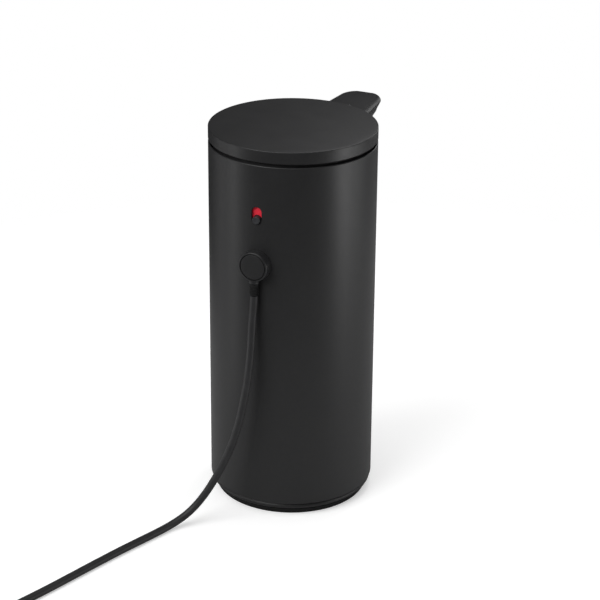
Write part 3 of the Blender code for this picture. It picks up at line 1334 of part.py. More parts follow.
def make_motor_shell(steel, plastic, magnet, brass):
    """The motor's can, its end cap with the terminals, and the two magnets."""
    centre = (DRIVE_X, PUMP_OFFSET_Y)
    inner = MOTOR_RADIUS - MOTOR_WALL
    hole = SHAFT_RADIUS + SEAT_GAP
    profile = [
        (hole, MOTOR_TOP - MOTOR_WALL),
        (inner, MOTOR_TOP - MOTOR_WALL),
        (inner, MOTOR_BOTTOM),
        (MOTOR_RADIUS, MOTOR_BOTTOM),
        (MOTOR_RADIUS, MOTOR_TOP),
        (MOTOR_BOSS_RADIUS, MOTOR_TOP),
        (MOTOR_BOSS_RADIUS, MOTOR_TOP + MOTOR_BOSS_HEIGHT),
        (hole, MOTOR_TOP + MOTOR_BOSS_HEIGHT),
    ]
    finish(turned("motor_can", profile, MEDIUM_SIDES, centre), steel)
    cap_top = ENDCAP_BOTTOM + ENDCAP_THICKNESS
    cap_profile = [
        (hole, ENDCAP_BOTTOM),
        (MOTOR_RADIUS, ENDCAP_BOTTOM),
        (MOTOR_RADIUS, cap_top),
        (inner - SEAT_GAP, cap_top),
        (inner - SEAT_GAP, cap_top + ENDCAP_PLUG),
        (hole, cap_top + ENDCAP_PLUG),
    ]
    finish(turned("motor_endcap", cap_profile, MEDIUM_SIDES, centre), plastic)
    outer = inner - SEAT_GAP
    bottom = MOTOR_TOP - MOTOR_WALL - SEAT_GAP - MAGNET_LENGTH
    for number, side in enumerate((0, pi), start=1):
        angles = [side - MAGNET_ANGLE / 2 + MAGNET_ANGLE * step / 10 for step in range(11)]
        outline = [polar(outer, angle, centre) for angle in angles]
        outline += [polar(outer - MAGNET_THICKNESS, angle, centre) for angle in reversed(angles)]
        finish(prism(f"motor_magnet_{number}", outline, bottom, bottom + MAGNET_LENGTH), magnet)
    plate_top = ENDCAP_BOTTOM - SEAT_GAP
    terminals = ring(
        "motor_terminals", MOTOR_BOSS_RADIUS, TERMINAL_SPACING / 2 + TERMINAL_WIDTH / 2,
        plate_top - TERMINAL_THICKNESS, plate_top, centre,
    )
    for side in (-1, 1):
        x = centre[0] + side * TERMINAL_SPACING / 2
        fuse(terminals, box(
            "blade",
            (x - TERMINAL_THICKNESS / 2, centre[1] - TERMINAL_WIDTH / 2, plate_top - TERMINAL_LENGTH),
            (x + TERMINAL_THICKNESS / 2, centre[1] + TERMINAL_WIDTH / 2, plate_top - TERMINAL_THICKNESS / 2),
        ))
    finish(terminals, brass)


def make_rotor(steel, iron):
    """The motor's shaft, with its commutator, and its three-pole armature."""
    centre = (DRIVE_X, PUMP_OFFSET_Y)
    shaft_bottom = ENDCAP_BOTTOM + SEAT_GAP
    commutator_bottom = ENDCAP_BOTTOM + ENDCAP_THICKNESS + ENDCAP_PLUG + SEAT_GAP
    profile = [
        (0, shaft_bottom),
        (SHAFT_RADIUS, shaft_bottom),
        (SHAFT_RADIUS, commutator_bottom),
        (COMMUTATOR_RADIUS, commutator_bottom),
        (COMMUTATOR_RADIUS, commutator_bottom + COMMUTATOR_LENGTH),
        (SHAFT_RADIUS, commutator_bottom + COMMUTATOR_LENGTH),
        (SHAFT_RADIUS, PUMP_TOP),
        (0, PUMP_TOP),
    ]
    shaft = finish(turned("motor_shaft", profile, SMALL_SIDES, centre), steel)
    bore = SHAFT_RADIUS + SEAT_GAP
    tip = MOTOR_RADIUS - MOTOR_WALL - SEAT_GAP - MAGNET_THICKNESS - AIR_GAP
    stem_angle = asin(POLE_STEM / 2 / (tip - POLE_SHOE))
    hub_angle = asin(POLE_STEM / 2 / POLE_HUB)
    outline = []
    for pole in range(3):
        turn = 2 * pi * pole / 3
        outline.append(polar(POLE_HUB, turn - hub_angle))
        outline.append(polar(tip - POLE_SHOE, turn - stem_angle))
        outline.append(polar(tip - POLE_SHOE, turn - POLE_ANGLE / 2))
        for step in range(9):
            outline.append(polar(tip, turn - POLE_ANGLE / 2 + POLE_ANGLE * step / 8))
        outline.append(polar(tip - POLE_SHOE, turn + POLE_ANGLE / 2))
        outline.append(polar(tip - POLE_SHOE, turn + stem_angle))
        outline.append(polar(POLE_HUB, turn + hub_angle))
    bottom = commutator_bottom + COMMUTATOR_LENGTH + SEAT_GAP
    armature = prism("motor_armature", outline, bottom, bottom + ARMATURE_LENGTH)
    cut(armature, cylinder(
        "bore", bore, bottom - OVERRUN, bottom + ARMATURE_LENGTH + OVERRUN, sides=SMALL_SIDES,
    ))
    armature.location = (centre[0], centre[1], 0)
    finish(armature, iron)
    return [shaft, armature]


# Battery and electronics

def make_battery(wrap, nickel):
    """The cell, upright in its two cups, and its two tabs."""
    centre = (CELL_X, CELL_Y)
    groove = CELL_RADIUS - CELL_CUP_WALL / 3
    neck = CELL_TOP - CELL_CUP_DEPTH / 3
    profile = [
        (0, CELL_BOTTOM), (CELL_RADIUS, CELL_BOTTOM),
        (CELL_RADIUS, neck - CELL_CUP_WALL), (groove, neck - CELL_CUP_WALL / 2), (CELL_RADIUS, neck),
        (CELL_RADIUS, CELL_TOP - TAB_THICKNESS), (CELL_BUTTON_RADIUS, CELL_TOP - TAB_THICKNESS),
        (CELL_BUTTON_RADIUS, CELL_TOP), (0, CELL_TOP),
    ]
    finish(turned("battery_cell", profile, MEDIUM_SIDES, centre), wrap)
    tabs = {
        "battery_tab_lower": CELL_BOTTOM - SEAT_GAP - TAB_THICKNESS,
        "battery_tab_upper": CELL_TOP + SEAT_GAP,
    }
    for name, bottom in tabs.items():
        finish(box(
            name, (CELL_X - TAB_WIDTH / 2, CELL_Y - TAB_LENGTH / 2, bottom),
            (CELL_X + TAB_WIDTH / 2, CELL_Y + TAB_LENGTH / 2, bottom + TAB_THICKNESS),
        ), nickel)


def board_screw_places():
    """Return the main board's two screw places as (x, z), at opposite corners."""
    low = BOARD_BOTTOM + BOARD_SCREW_MARGIN
    high = BOARD_TOP - BOARD_SCREW_MARGIN
    half = BOARD_SCREW_SPACING / 2
    return [(-half, low), (half, high)]


def make_main_board(board_green, steel):
    """The upright main board behind the tank, with its soldered parts, and its screws."""
    half = BOARD_WIDTH / 2
    board = box("main_board", (-half, BOARD_FRONT, BOARD_BOTTOM), (half, BOARD_REAR, BOARD_TOP))
    holes = [
        rod(
            "hole", BOARD_SCREW_RADIUS + SEAT_GAP, (x, BOARD_FRONT - OVERRUN, z),
            (x, BOARD_REAR + OVERRUN, z),
        )
        for x, z in board_screw_places()
    ]
    face = BOARD_FRONT
    inside = BOARD_FRONT + BOARD_THICKNESS / 2
    middle = (BOARD_BOTTOM + BOARD_TOP) / 2
    parts = [
        box(
            "chip", (-CHIP_SIZE / 2, face - CHIP_HEIGHT, middle - CHIP_SIZE / 2),
            (CHIP_SIZE / 2, inside, middle + CHIP_SIZE / 2),
        ),
        rod(
            "coil", COIL_RADIUS, (0, face - TALL_PART_HEIGHT, middle - PART_SPACING),
            (0, inside, middle - PART_SPACING),
        ),
    ]
    for side in (-1, 1):
        x = side * PART_SPACING / 2
        z = middle + PART_SPACING
        parts.append(rod("capacitor", CAPACITOR_RADIUS, (x, face - TALL_PART_HEIGHT, z), (x, inside, z)))
    finish(fuse(cut(board, *holes), *parts), board_green)
    for number, (x, z) in enumerate(board_screw_places(), start=1):
        head = BOARD_REAR + SEAT_GAP
        top = rod(
            f"board_screw_{number}", BOARD_SCREW_RADIUS + SCREW_HEAD_OVERHANG, (x, head, z),
            (x, head + BOARD_SCREW_HEAD, z),
        )
        shank = rod(
            "shank", BOARD_SCREW_RADIUS, (x, BOARD_FRONT - BOSS_SCREW_DEPTH, z),
            (x, head + BOARD_SCREW_HEAD / 2, z),
        )
        finish(fuse(top, shank), steel)


# Power switch

def make_switch(dark, red, plastic):
    """The sliding knob with its red flag, the guide behind the slot and the switch's case."""
    half = SLIDER_WIDTH / 2
    slider = box("switch_knob", (-half, SLIDER_BACK, SLIDER_BOTTOM), (half, SLIDER_FRONT, SLIDER_TOP))
    front = BODY_RADIUS + KNOB_PROUD
    knob_profile = [
        (0, SLIDER_BACK + SLIDER_THICKNESS / 2),
        (KNOB_RADIUS, SLIDER_BACK + SLIDER_THICKNESS / 2),
        (KNOB_RADIUS, front - KNOB_EDGE),
        (KNOB_RADIUS - KNOB_EDGE, front),
        (0, front),
    ]
    knob = turned_back("knob", knob_profile, KNOB_Z)
    stem = box(
        "stem", (-STEM_WIDTH / 2, SLIDER_BACK - STEM_REACH, KNOB_Z - STEM_HEIGHT / 2),
        (STEM_WIDTH / 2, SLIDER_FRONT - SLIDER_THICKNESS / 2, KNOB_Z + STEM_HEIGHT / 2),
    )
    flag_half = half - FLAG_MARGIN
    flag_bottom = KNOB_Z + FLAG_RISE
    flag_top = SLIDER_TOP - FLAG_MARGIN
    pocket = box(
        "pocket",
        (-flag_half - SEAT_GAP, SLIDER_FRONT - FLAG_THICKNESS - SEAT_GAP, flag_bottom - SEAT_GAP),
        (flag_half + SEAT_GAP, SLIDER_FRONT + OVERRUN, flag_top + SEAT_GAP),
    )
    slider = fuse(cut(slider, pocket), knob, stem)
    finish(slider, dark)
    flag = box(
        "switch_flag", (-flag_half, SLIDER_FRONT - FLAG_THICKNESS, flag_bottom),
        (flag_half, SLIDER_FRONT, flag_top),
    )
    room = rod(
        "room", KNOB_RADIUS + SEAT_GAP, (0, SLIDER_BACK - OVERRUN, KNOB_Z),
        (0, SLIDER_FRONT + OVERRUN, KNOB_Z), MEDIUM_SIDES,
    )
    flag = finish(cut(flag, room), red)

    guide_back = BOARD_REAR + SEAT_GAP + SWITCH_CASE_DEPTH + SEAT_GAP
    low = SLIDER_BOTTOM - SEAT_GAP
    high = SLIDER_TOP + SWITCH_TRAVEL + SEAT_GAP
    guide = box(
        "switch_guide", (-half - SEAT_GAP - GUIDE_WALL, guide_back, low - GUIDE_WALL / 2),
        (half + SEAT_GAP + GUIDE_WALL, SLEEVE_INNER, high + GUIDE_WALL / 2),
    )
    channel = box(
        "channel", (-half - SEAT_GAP, guide_back - OVERRUN, low),
        (half + SEAT_GAP, SLEEVE_INNER + OVERRUN, high),
    )
    inside = cylinder(
        "inside", SLEEVE_INNER - 2 * SEAT_GAP, low - GUIDE_WALL, high + GUIDE_WALL, sides=LARGE_SIDES,
    )
    finish(keep_inside(cut(guide, channel), inside), plastic)

    case_front = BOARD_REAR + SEAT_GAP + SWITCH_CASE_DEPTH
    case_low = KNOB_Z - STEM_HEIGHT / 2 - SWITCH_CASE_MARGIN
    case_high = KNOB_Z + STEM_HEIGHT / 2 + SWITCH_TRAVEL + SWITCH_CASE_MARGIN
    case = box(
        "slide_switch_case", (-SLIDER_WIDTH / 2, BOARD_REAR + SEAT_GAP, case_low),
        (SLIDER_WIDTH / 2, case_front, case_high),
    )
    stem_room = box(
        "stem_room",
        (-STEM_WIDTH / 2 - RUN_GAP, SLIDER_BACK - STEM_REACH - RUN_GAP, KNOB_Z - STEM_HEIGHT / 2 - RUN_GAP),
        (STEM_WIDTH / 2 + RUN_GAP, case_front + OVERRUN, KNOB_Z + STEM_HEIGHT / 2 + SWITCH_TRAVEL + RUN_GAP),
    )
    finish(cut(case, stem_room), plastic)
    hang_on("switch_axis", (0, BODY_RADIUS, KNOB_Z), [slider, flag])


# Charging port and puck

def make_port(plastic, brass, steel, rubber):
    """The port's housing in the sleeve, its contacts, its keeper ring and its seal."""
    flange_front = SLEEVE_INNER - PORT_FLANGE_SETBACK
    profile = [
        (0, BOARD_REAR + SEAT_GAP),
        (PORT_STUB_RADIUS, BOARD_REAR + SEAT_GAP),
        (PORT_STUB_RADIUS, flange_front - PORT_FLANGE_DEPTH),
        (PORT_FLANGE_RADIUS, flange_front - PORT_FLANGE_DEPTH),
        (PORT_FLANGE_RADIUS, flange_front),
        (PORT_FACE_RADIUS, flange_front),
        (PORT_FACE_RADIUS, PORT_FACE_Y),
        (0, PORT_FACE_Y),
    ]
    housing = turned_back("port_housing", profile, PORT_Z)
    pocket = turned_back(
        "pocket",
        [
            (KEEPER_INNER - SEAT_GAP, PORT_FACE_Y - KEEPER_DEPTH - SEAT_GAP),
            (KEEPER_OUTER + SEAT_GAP, PORT_FACE_Y - KEEPER_DEPTH - SEAT_GAP),
            (KEEPER_OUTER + SEAT_GAP, PORT_FACE_Y + OVERRUN),
            (KEEPER_INNER - SEAT_GAP, PORT_FACE_Y + OVERRUN),
        ],
        PORT_Z,
    )
    holes = [
        rod(
            "hole", CONTACT_RADIUS + SEAT_GAP, (side * CONTACT_SPACING / 2, BOARD_REAR, PORT_Z),
            (side * CONTACT_SPACING / 2, PORT_FACE_Y + OVERRUN, PORT_Z),
        )
        for side in (-1, 1)
    ]
    bar_half = CONTACT_SPACING / 2 + CONTACT_RADIUS
    bar_rear = BOARD_REAR + SEAT_GAP
    bar_room = box(
        "bar_room", (-bar_half - 2 * SEAT_GAP, BOARD_REAR, PORT_Z - CONTACT_RADIUS - 2 * SEAT_GAP),
        (bar_half + 2 * SEAT_GAP, bar_rear + CONTACT_BAR + SEAT_GAP, PORT_Z + CONTACT_RADIUS + 2 * SEAT_GAP),
    )
    finish(cut(housing, pocket, bar_room, *holes), plastic)
    contacts = box(
        "port_contacts", (-bar_half, bar_rear, PORT_Z - CONTACT_RADIUS),
        (bar_half, bar_rear + CONTACT_BAR, PORT_Z + CONTACT_RADIUS),
    )
    for side in (-1, 1):
        fuse(contacts, rod(
            "contact", CONTACT_RADIUS - SEAT_GAP / 4,
            (side * CONTACT_SPACING / 2, bar_rear + CONTACT_BAR / 2, PORT_Z),
            (side * CONTACT_SPACING / 2, PORT_FACE_Y + SEAT_GAP / 2, PORT_Z),
        ))
    finish(contacts, brass)
    keeper = turned_back(
        "port_keeper",
        [
            (KEEPER_INNER, PORT_FACE_Y - KEEPER_DEPTH), (KEEPER_OUTER, PORT_FACE_Y - KEEPER_DEPTH),
            (KEEPER_OUTER, PORT_FACE_Y), (KEEPER_INNER, PORT_FACE_Y),
        ],
        PORT_Z,
    )
    finish(keeper, steel)
    seal = turned_back(
        "port_seal",
        [
            (PORT_FACE_RADIUS + SEAT_GAP, flange_front + SEAT_GAP),
            (PORT_FACE_RADIUS + SEAT_GAP + PORT_SEAL_WIDTH, flange_front + SEAT_GAP),
            (PORT_FACE_RADIUS + SEAT_GAP + PORT_SEAL_WIDTH, flange_front + SEAT_GAP + PORT_SEAL_HEIGHT),
            (PORT_FACE_RADIUS + SEAT_GAP, flange_front + SEAT_GAP + PORT_SEAL_HEIGHT),
        ],
        PORT_Z,
    )
    finish(seal, rubber)


def make_puck(black, face_black, steel, brass, rubber):
    """The magnetic charging puck and the strain relief below it."""
    pocket_floor = PUCK_FRONT - PUCK_FACE_DEPTH - SEAT_GAP
    profile = [
        (0, BOARD_REAR),
        (PUCK_RADIUS, BOARD_REAR),
        (PUCK_RADIUS, PUCK_FRONT - PUCK_EDGE),
        (PUCK_RADIUS - PUCK_EDGE, PUCK_FRONT),
        (PUCK_FACE_RADIUS + SEAT_GAP, PUCK_FRONT),
        (PUCK_FACE_RADIUS + SEAT_GAP, pocket_floor),
        (0, pocket_floor),
    ]
    housing = turned_back("puck_housing", profile, PORT_Z)
    neck = cylinder(
        "neck", PUCK_NECK_RADIUS, NECK_BOTTOM, PORT_Z - PUCK_RADIUS + PUCK_EDGE, (0, RELIEF_Y), SMALL_SIDES,
    )
    housing = fuse(housing, neck)
    body = cylinder(
        "body", PUCK_REAR_RADIUS, PORT_Z - 2 * PUCK_RADIUS, PORT_Z + 2 * PUCK_RADIUS, sides=LARGE_SIDES,
    )
    magnet_rear = PUCK_REAR_RADIUS + PUCK_MAGNET_SETBACK
    magnet_front = magnet_rear + PUCK_MAGNET_DEPTH
    pocket = turned_back(
        "pocket",
        [
            (KEEPER_INNER - SEAT_GAP, BOARD_REAR), (KEEPER_OUTER + SEAT_GAP, BOARD_REAR),
            (KEEPER_OUTER + SEAT_GAP, magnet_front + SEAT_GAP),
            (KEEPER_INNER - SEAT_GAP, magnet_front + SEAT_GAP),
        ],
        PORT_Z,
    )
    pin_rear = PORT_FACE_Y + 2 * SEAT_GAP
    bar_half = CONTACT_SPACING / 2 + PIN_RADIUS
    pin_front = pin_rear + PIN_LENGTH
    room = box(
        "room", (-bar_half - SEAT_GAP, BOARD_REAR, PORT_Z - PIN_RADIUS - SEAT_GAP),
        (bar_half + SEAT_GAP, pin_front + SEAT_GAP, PORT_Z + PIN_RADIUS + SEAT_GAP),
    )
    housing = finish(cut(housing, body, pocket, room), black)
    face_profile = [
        (0, PUCK_FRONT - PUCK_FACE_DEPTH), (PUCK_FACE_RADIUS, PUCK_FRONT - PUCK_FACE_DEPTH),
        (PUCK_FACE_RADIUS, PUCK_FRONT - PUCK_EDGE / 4), (PUCK_FACE_RADIUS - PUCK_EDGE / 4, PUCK_FRONT),
        (0, PUCK_FRONT),
    ]
    face = finish(turned_back("puck_face", face_profile, PORT_Z), face_black)
    magnet = turned_back(
        "puck_magnet",
        [
            (KEEPER_INNER, magnet_rear), (KEEPER_OUTER, magnet_rear),
            (KEEPER_OUTER, magnet_front), (KEEPER_INNER, magnet_front),
        ],
        PORT_Z,
    )
    finish(magnet, steel)
    pins = box(
        "puck_pins", (-bar_half, pin_front - PIN_BAR, PORT_Z - PIN_RADIUS),
        (bar_half, pin_front, PORT_Z + PIN_RADIUS),
    )
    for side in (-1, 1):
        fuse(pins, rod(
            "pin", PIN_RADIUS - SEAT_GAP / 4, (side * CONTACT_SPACING / 2, pin_rear, PORT_Z),
            (side * CONTACT_SPACING / 2, pin_front - PIN_BAR / 2, PORT_Z),
        ))
    finish(pins, brass)
    relief_profile = [(0, RELIEF_BOTTOM), (RELIEF_END_RADIUS, RELIEF_BOTTOM)]
    rib = RELIEF_LENGTH / RELIEF_RIBS
    for index in range(RELIEF_RIBS):
        share = (index + 1) / RELIEF_RIBS
        radius = RELIEF_END_RADIUS + (RELIEF_TOP_RADIUS - RELIEF_END_RADIUS) * share
        height = RELIEF_BOTTOM + rib * (index + 1)
        if index < RELIEF_RIBS - 1:
            relief_profile += [
                (radius, height - rib / 3), (radius - RELIEF_GROOVE, height - rib / 4),
                (radius - RELIEF_GROOVE, height - rib / 12), (radius, height),
            ]
        else:
            relief_profile.append((radius, height))
    relief_profile.append((0, RELIEF_TOP))
    relief = finish(turned("cable_relief", relief_profile, SMALL_SIDES, (0, RELIEF_Y)), rubber)
    return [housing, face, magnet, pins, relief]


# Charging cord, its coil and its plug

def coil_points():
    """Return the points of the coiled length: lead-in, loops in and out, and the run to the plug."""
    outer = COIL_MIDDLE_RADIUS + COIL_PITCH * COIL_TURNS / 4
    first = COIL_HEADING - pi / 2
    heading = Vector((cos(COIL_HEADING), sin(COIL_HEADING), 0))
    start = Vector((*COIL_START, CORD_FLOOR_Z))
    begin = start + heading * COIL_LEAD
    centre = begin - outer * Vector((cos(first), sin(first), 0))
    points = [start, start + heading * COIL_LEAD / 2]
    steps = round(COIL_TURNS * COIL_LOOP_POINTS)
    for step in range(steps + 1):
        turns = COIL_TURNS * step / steps
        inward = min(turns, COIL_TURNS - turns)
        angle = first + 2 * pi * turns
        climb = min(max((turns - COIL_TURNS / 2) / 0.5 + 0.5, 0.0), 1.0)
        radius = outer - COIL_PITCH * inward
        points.append(centre + Vector((radius * cos(angle), radius * sin(angle), climb * COIL_PITCH)))
    last_angle = first + 2 * pi * COIL_TURNS + pi / 2
    away = Vector((cos(last_angle), sin(last_angle), 0))
    top = points[-1].copy()
    plug_z = max(GRIP_HEIGHT / 2 + CORD_FLOOR_GAP, CORD_FLOOR_Z)
    for step in range(1, PLUG_RUN_STEPS + 1):
        share = step / PLUG_RUN_STEPS
        fall = min(share * PLUG_RUN_STEPS / (PLUG_RUN_STEPS - 1), 1.0)
        eased = fall * fall * (3 - 2 * fall)
        place = top + away * PLUG_RUN * share
        place.z = top.z + (plug_z - top.z) * eased
        points.append(place)
    return points, away


def least_gap(points, diameter):
    """Return the least gap of a wound tube to itself, measured between its points."""
    places = numpy.array([tuple(point) for point in points])
    lengths = numpy.cumsum([0] + [(b - a).length for a, b in zip(points, points[1:])])
    nearest = numpy.inf
    for index in range(len(places)):
        apart = numpy.abs(lengths - lengths[index]) > 4 * diameter
        if apart.any():
            distances = numpy.linalg.norm(places[apart] - places[index], axis=1)
            nearest = min(nearest, distances.min())
    return nearest - diameter


def make_cord(rubber):
    """The free cord from the strain relief to the coil, and the coiled length."""
    top = Vector((0, RELIEF_Y, RELIEF_BOTTOM - SEAT_GAP))
    below = top - Vector((0, 0, CORD_DIAMETER))
    heading = Vector((cos(COIL_HEADING), sin(COIL_HEADING), 0))
    end = Vector((*COIL_START, CORD_FLOOR_Z)) - heading * SEAT_GAP
    before_end = end - heading * CORD_DIAMETER
    route = [top, below] + [Vector(point) for point in CORD_ROUTE] + [before_end, end]
    points = smooth_route(route, CORD_STEP_SHARE * CORD_DIAMETER)
    points.insert(1, below)
    points.insert(-1, before_end)
    points = drop_crowded(points, CORD_DIAMETER / 2)
    cord = curve_tube("charge_cord", points, CORD_DIAMETER / 2, 2)
    cord.data.materials.append(rubber)
    wound, away = coil_points()
    print("coil gap in mm:", round(least_gap(wound, CORD_DIAMETER) / MM, 3))
    length = sum((b - a).length for a, b in zip(points + wound, (points + wound)[1:]))
    print("cord length in m:", round(length, 4))
    coil = curve_tube("cord_coil", wound, CORD_DIAMETER / 2, 1)
    coil.data.materials.append(rubber)
    return [cord, coil], wound[-1], away


def drop_crowded(points, least):
    """Drop inner points that lie too close to the one before them."""
    kept = [points[0], points[1]]
    for place in points[2:-2]:
        if (place - kept[-1]).length > least and (place - points[-2]).length > least:
            kept.append(place)
    return kept + points[-2:]


def make_plug(rubber, steel, white, cord_end, away):
    """The type A charging plug at the cord's far end: grip, shell and tongue."""
    start = SEAT_GAP
    grip_end = start + GRIP_COLLAR_LENGTH + GRIP_LENGTH
    grip = prism(
        "charger_plug_grip",
        [
            (start + GRIP_COLLAR_LENGTH, -GRIP_WIDTH / 2), (grip_end, -GRIP_WIDTH / 2),
            (grip_end, GRIP_WIDTH / 2), (start + GRIP_COLLAR_LENGTH, GRIP_WIDTH / 2),
        ],
        -GRIP_HEIGHT / 2, GRIP_HEIGHT / 2,
    )
    round_edges(grip, GRIP_EDGE)
    collar = rod("collar", GRIP_COLLAR_RADIUS, (start, 0, 0), (start + GRIP_COLLAR_LENGTH + GRIP_EDGE, 0, 0))
    grip = finish(fuse(grip, collar), rubber)
    shell_start = grip_end + SEAT_GAP
    shell_end = shell_start + SHELL_LENGTH
    shell = box(
        "charger_plug_shell", (shell_start, -SHELL_WIDTH / 2, -SHELL_HEIGHT / 2),
        (shell_end, SHELL_WIDTH / 2, SHELL_HEIGHT / 2),
    )
    inside_half = SHELL_WIDTH / 2 - SHELL_WALL
    hollow = box(
        "hollow", (shell_start - OVERRUN, -inside_half, -SHELL_HEIGHT / 2 + SHELL_WALL),
        (shell_end + OVERRUN, inside_half, SHELL_HEIGHT / 2 - SHELL_WALL),
    )
    shell = finish(cut(shell, hollow), steel)
    tongue_half = inside_half - SEAT_GAP
    tongue_top = SHELL_HEIGHT / 2 - SHELL_WALL - SEAT_GAP
    tongue = box(
        "charger_plug_tongue", (shell_start, -tongue_half, tongue_top - TONGUE_HEIGHT),
        (shell_start + TONGUE_LENGTH, tongue_half, tongue_top),
    )
    tongue = finish(tongue, white)
    placing = Matrix.Translation(cord_end) @ Matrix.Rotation(atan2(away.y, away.x), 4, "Z")
    for item in (grip, shell, tongue):
        bpy.context.view_layer.update()
        item.matrix_world = placing @ item.matrix_world
    return [grip, shell, tongue]


def main():
    """Build every piece."""
    clear_scene()
    black = new_material("body_black", (0.030, 0.030, 0.032), 0.48)
    lid_black = new_material("lid_black", (0.032, 0.032, 0.034), 0.45)
    base_black = new_material("base_plastic", (0.028, 0.028, 0.030), 0.45)
    rubber = new_material("soft_rubber", (0.020, 0.020, 0.021), 0.75)
    core_plastic = new_material("core_plastic", (0.12, 0.12, 0.125), 0.50)
    clear = new_material("tank_plastic", (0.55, 0.58, 0.60), 0.30)
    silicone = new_material("silicone", (0.60, 0.60, 0.58), 0.55)
    pump_plastic = new_material("pump_plastic", (0.50, 0.48, 0.42), 0.45)
    steel = new_material("steel", (0.55, 0.55, 0.56), 0.30, 1.0)
    iron = new_material("armature_iron", (0.25, 0.22, 0.20), 0.45, 1.0)
    magnet = new_material("magnet_black", (0.06, 0.06, 0.065), 0.55)
    brass = new_material("contact_brass", (0.80, 0.60, 0.28), 0.28, 1.0)
    board_green = new_material("board_green", (0.02, 0.16, 0.07), 0.40)
    wrap = new_material("cell_wrap", (0.04, 0.16, 0.42), 0.35)
    glass = new_material("sensor_glass", (0.015, 0.008, 0.012), 0.12)
    knob_grey = new_material("knob_grey", (0.045, 0.045, 0.048), 0.40)
    red = new_material("flag_red", (0.68, 0.026, 0.052), 0.45)
    puck_black = new_material("puck_black", (0.035, 0.035, 0.037), 0.40)
    face_black = new_material("puck_face_black", (0.028, 0.028, 0.030), 0.32)
    cord_rubber = new_material("cord_rubber", (0.030, 0.030, 0.032), 0.50)
    tongue_white = new_material("tongue_white", (0.75, 0.75, 0.73), 0.40)

    make_body_sleeve(black)
    make_foot_pad(rubber)
    make_base_plate(base_black)
    make_base_screws(steel)
    make_core_frame(core_plastic)
    make_soap_tank(clear)
    make_tank_gasket(rubber)
    make_top_deck(core_plastic)
    make_lid(lid_black, core_plastic, silicone, steel)
    make_spout_shell(black)
    make_nozzle(core_plastic, silicone)
    make_sensor(glass, board_green)
    make_delivery_tube(silicone)
    make_pump_housing(pump_plastic, steel, rubber)
    make_inlet_grommet(rubber)
    make_motor_shell(steel, core_plastic, magnet, brass)
    rotor = make_rotor(steel, iron)
    drive = make_gear("drive_gear", (DRIVE_X, PUMP_OFFSET_Y), 0, steel)
    idler = make_gear("idler_gear", (IDLER_X, PUMP_OFFSET_Y), pi + pi / GEAR_TEETH, steel)
    hang_on("pump_drive_axis", (DRIVE_X, PUMP_OFFSET_Y, GEAR_BOTTOM), rotor + [drive])
    hang_on("pump_idler_axis", (IDLER_X, PUMP_OFFSET_Y, GEAR_BOTTOM), [idler])
    make_battery(wrap, steel)
    make_main_board(board_green, steel)
    make_switch(knob_grey, red, core_plastic)
    make_port(core_plastic, brass, steel, rubber)
    puck = make_puck(puck_black, face_black, steel, brass, rubber)
    cords, cord_end, away = make_cord(cord_rubber)
    plug = make_plug(cord_rubber, steel, tongue_white, cord_end, away)
    hang_on("cable_pull_axis", (0, BODY_RADIUS, PORT_Z), puck + cords + plug)


main()
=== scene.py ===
"""Dresses an automatic soap dispenser with its charging cable for a studio picture.

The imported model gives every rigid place. This script turns the visible pieces again with
fine edges, lays the cord, and gives each surface its own procedural finish.
"""
import json
import logging
from collections.abc import Callable, Iterable, Sequence
from dataclasses import dataclass
from enum import Enum
from math import asin, atan2, ceil, cos, pi, radians, sin, sqrt
from typing import Any

import bmesh
import bpy
import numpy
from mathutils import Matrix, Vector


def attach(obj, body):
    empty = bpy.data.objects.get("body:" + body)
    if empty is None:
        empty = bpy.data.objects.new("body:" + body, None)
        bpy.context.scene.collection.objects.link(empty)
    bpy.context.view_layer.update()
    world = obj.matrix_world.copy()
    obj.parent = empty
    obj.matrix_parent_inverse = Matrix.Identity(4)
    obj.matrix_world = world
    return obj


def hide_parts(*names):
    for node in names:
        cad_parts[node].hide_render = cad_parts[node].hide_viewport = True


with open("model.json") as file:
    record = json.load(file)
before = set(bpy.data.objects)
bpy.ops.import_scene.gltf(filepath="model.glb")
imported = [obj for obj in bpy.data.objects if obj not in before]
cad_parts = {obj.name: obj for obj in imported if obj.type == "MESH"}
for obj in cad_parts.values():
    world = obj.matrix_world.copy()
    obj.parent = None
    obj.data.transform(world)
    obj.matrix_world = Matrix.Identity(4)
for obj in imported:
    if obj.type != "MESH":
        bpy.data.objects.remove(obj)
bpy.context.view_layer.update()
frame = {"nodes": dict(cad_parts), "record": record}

Colour = tuple[float, float, float]
Point = tuple[float, float, float]
Place = tuple[float, float]
Profile = Sequence[Place]

LOG = logging.getLogger("soap_dispenser")
MM = 0.001
SEAT_GAP = 0.3 * MM
MERGE_GAP = 0.001 * MM
SLIVER = 0.0001 * MM
OVERRUN = 1.0 * MM
FINE_SIDES = 192
ROUND_SIDES = 96
SMALL_SIDES = 48
STUD_SIDES = 12
SHARP_ANGLE = 38.0
WHITE = (1.0, 1.0, 1.0)
EVEN = (1.0, 1.0, 1.0)

# The sleeve's radius, the two heights at its back, and the depths that its back's cutters run between

BODY_RADIUS = 37.5 * MM
SWITCH_HEIGHT = 145.5 * MM
PORT_HEIGHT = 123.0 * MM
CUT_NEAR = 30.0 * MM
CUT_FAR = 42.0 * MM


class Body(Enum):
    """The rigid bodies that a dressed piece can ride on."""

    HOUSING = "housing"
    LID = "lid"
    SWITCH = "switch"
    CABLE = "charging_cable"


class Texture(Enum):
    """The kinds of surface texture that a moulded or coated finish can have."""

    POWDER = "fine orange peel of a baked powder coat"
    SPARK = "fine spark-eroded grain of a mould"
    SATIN = "nearly smooth satin moulding"
    SOFT = "soft dull skin of rubber"


# Node trees

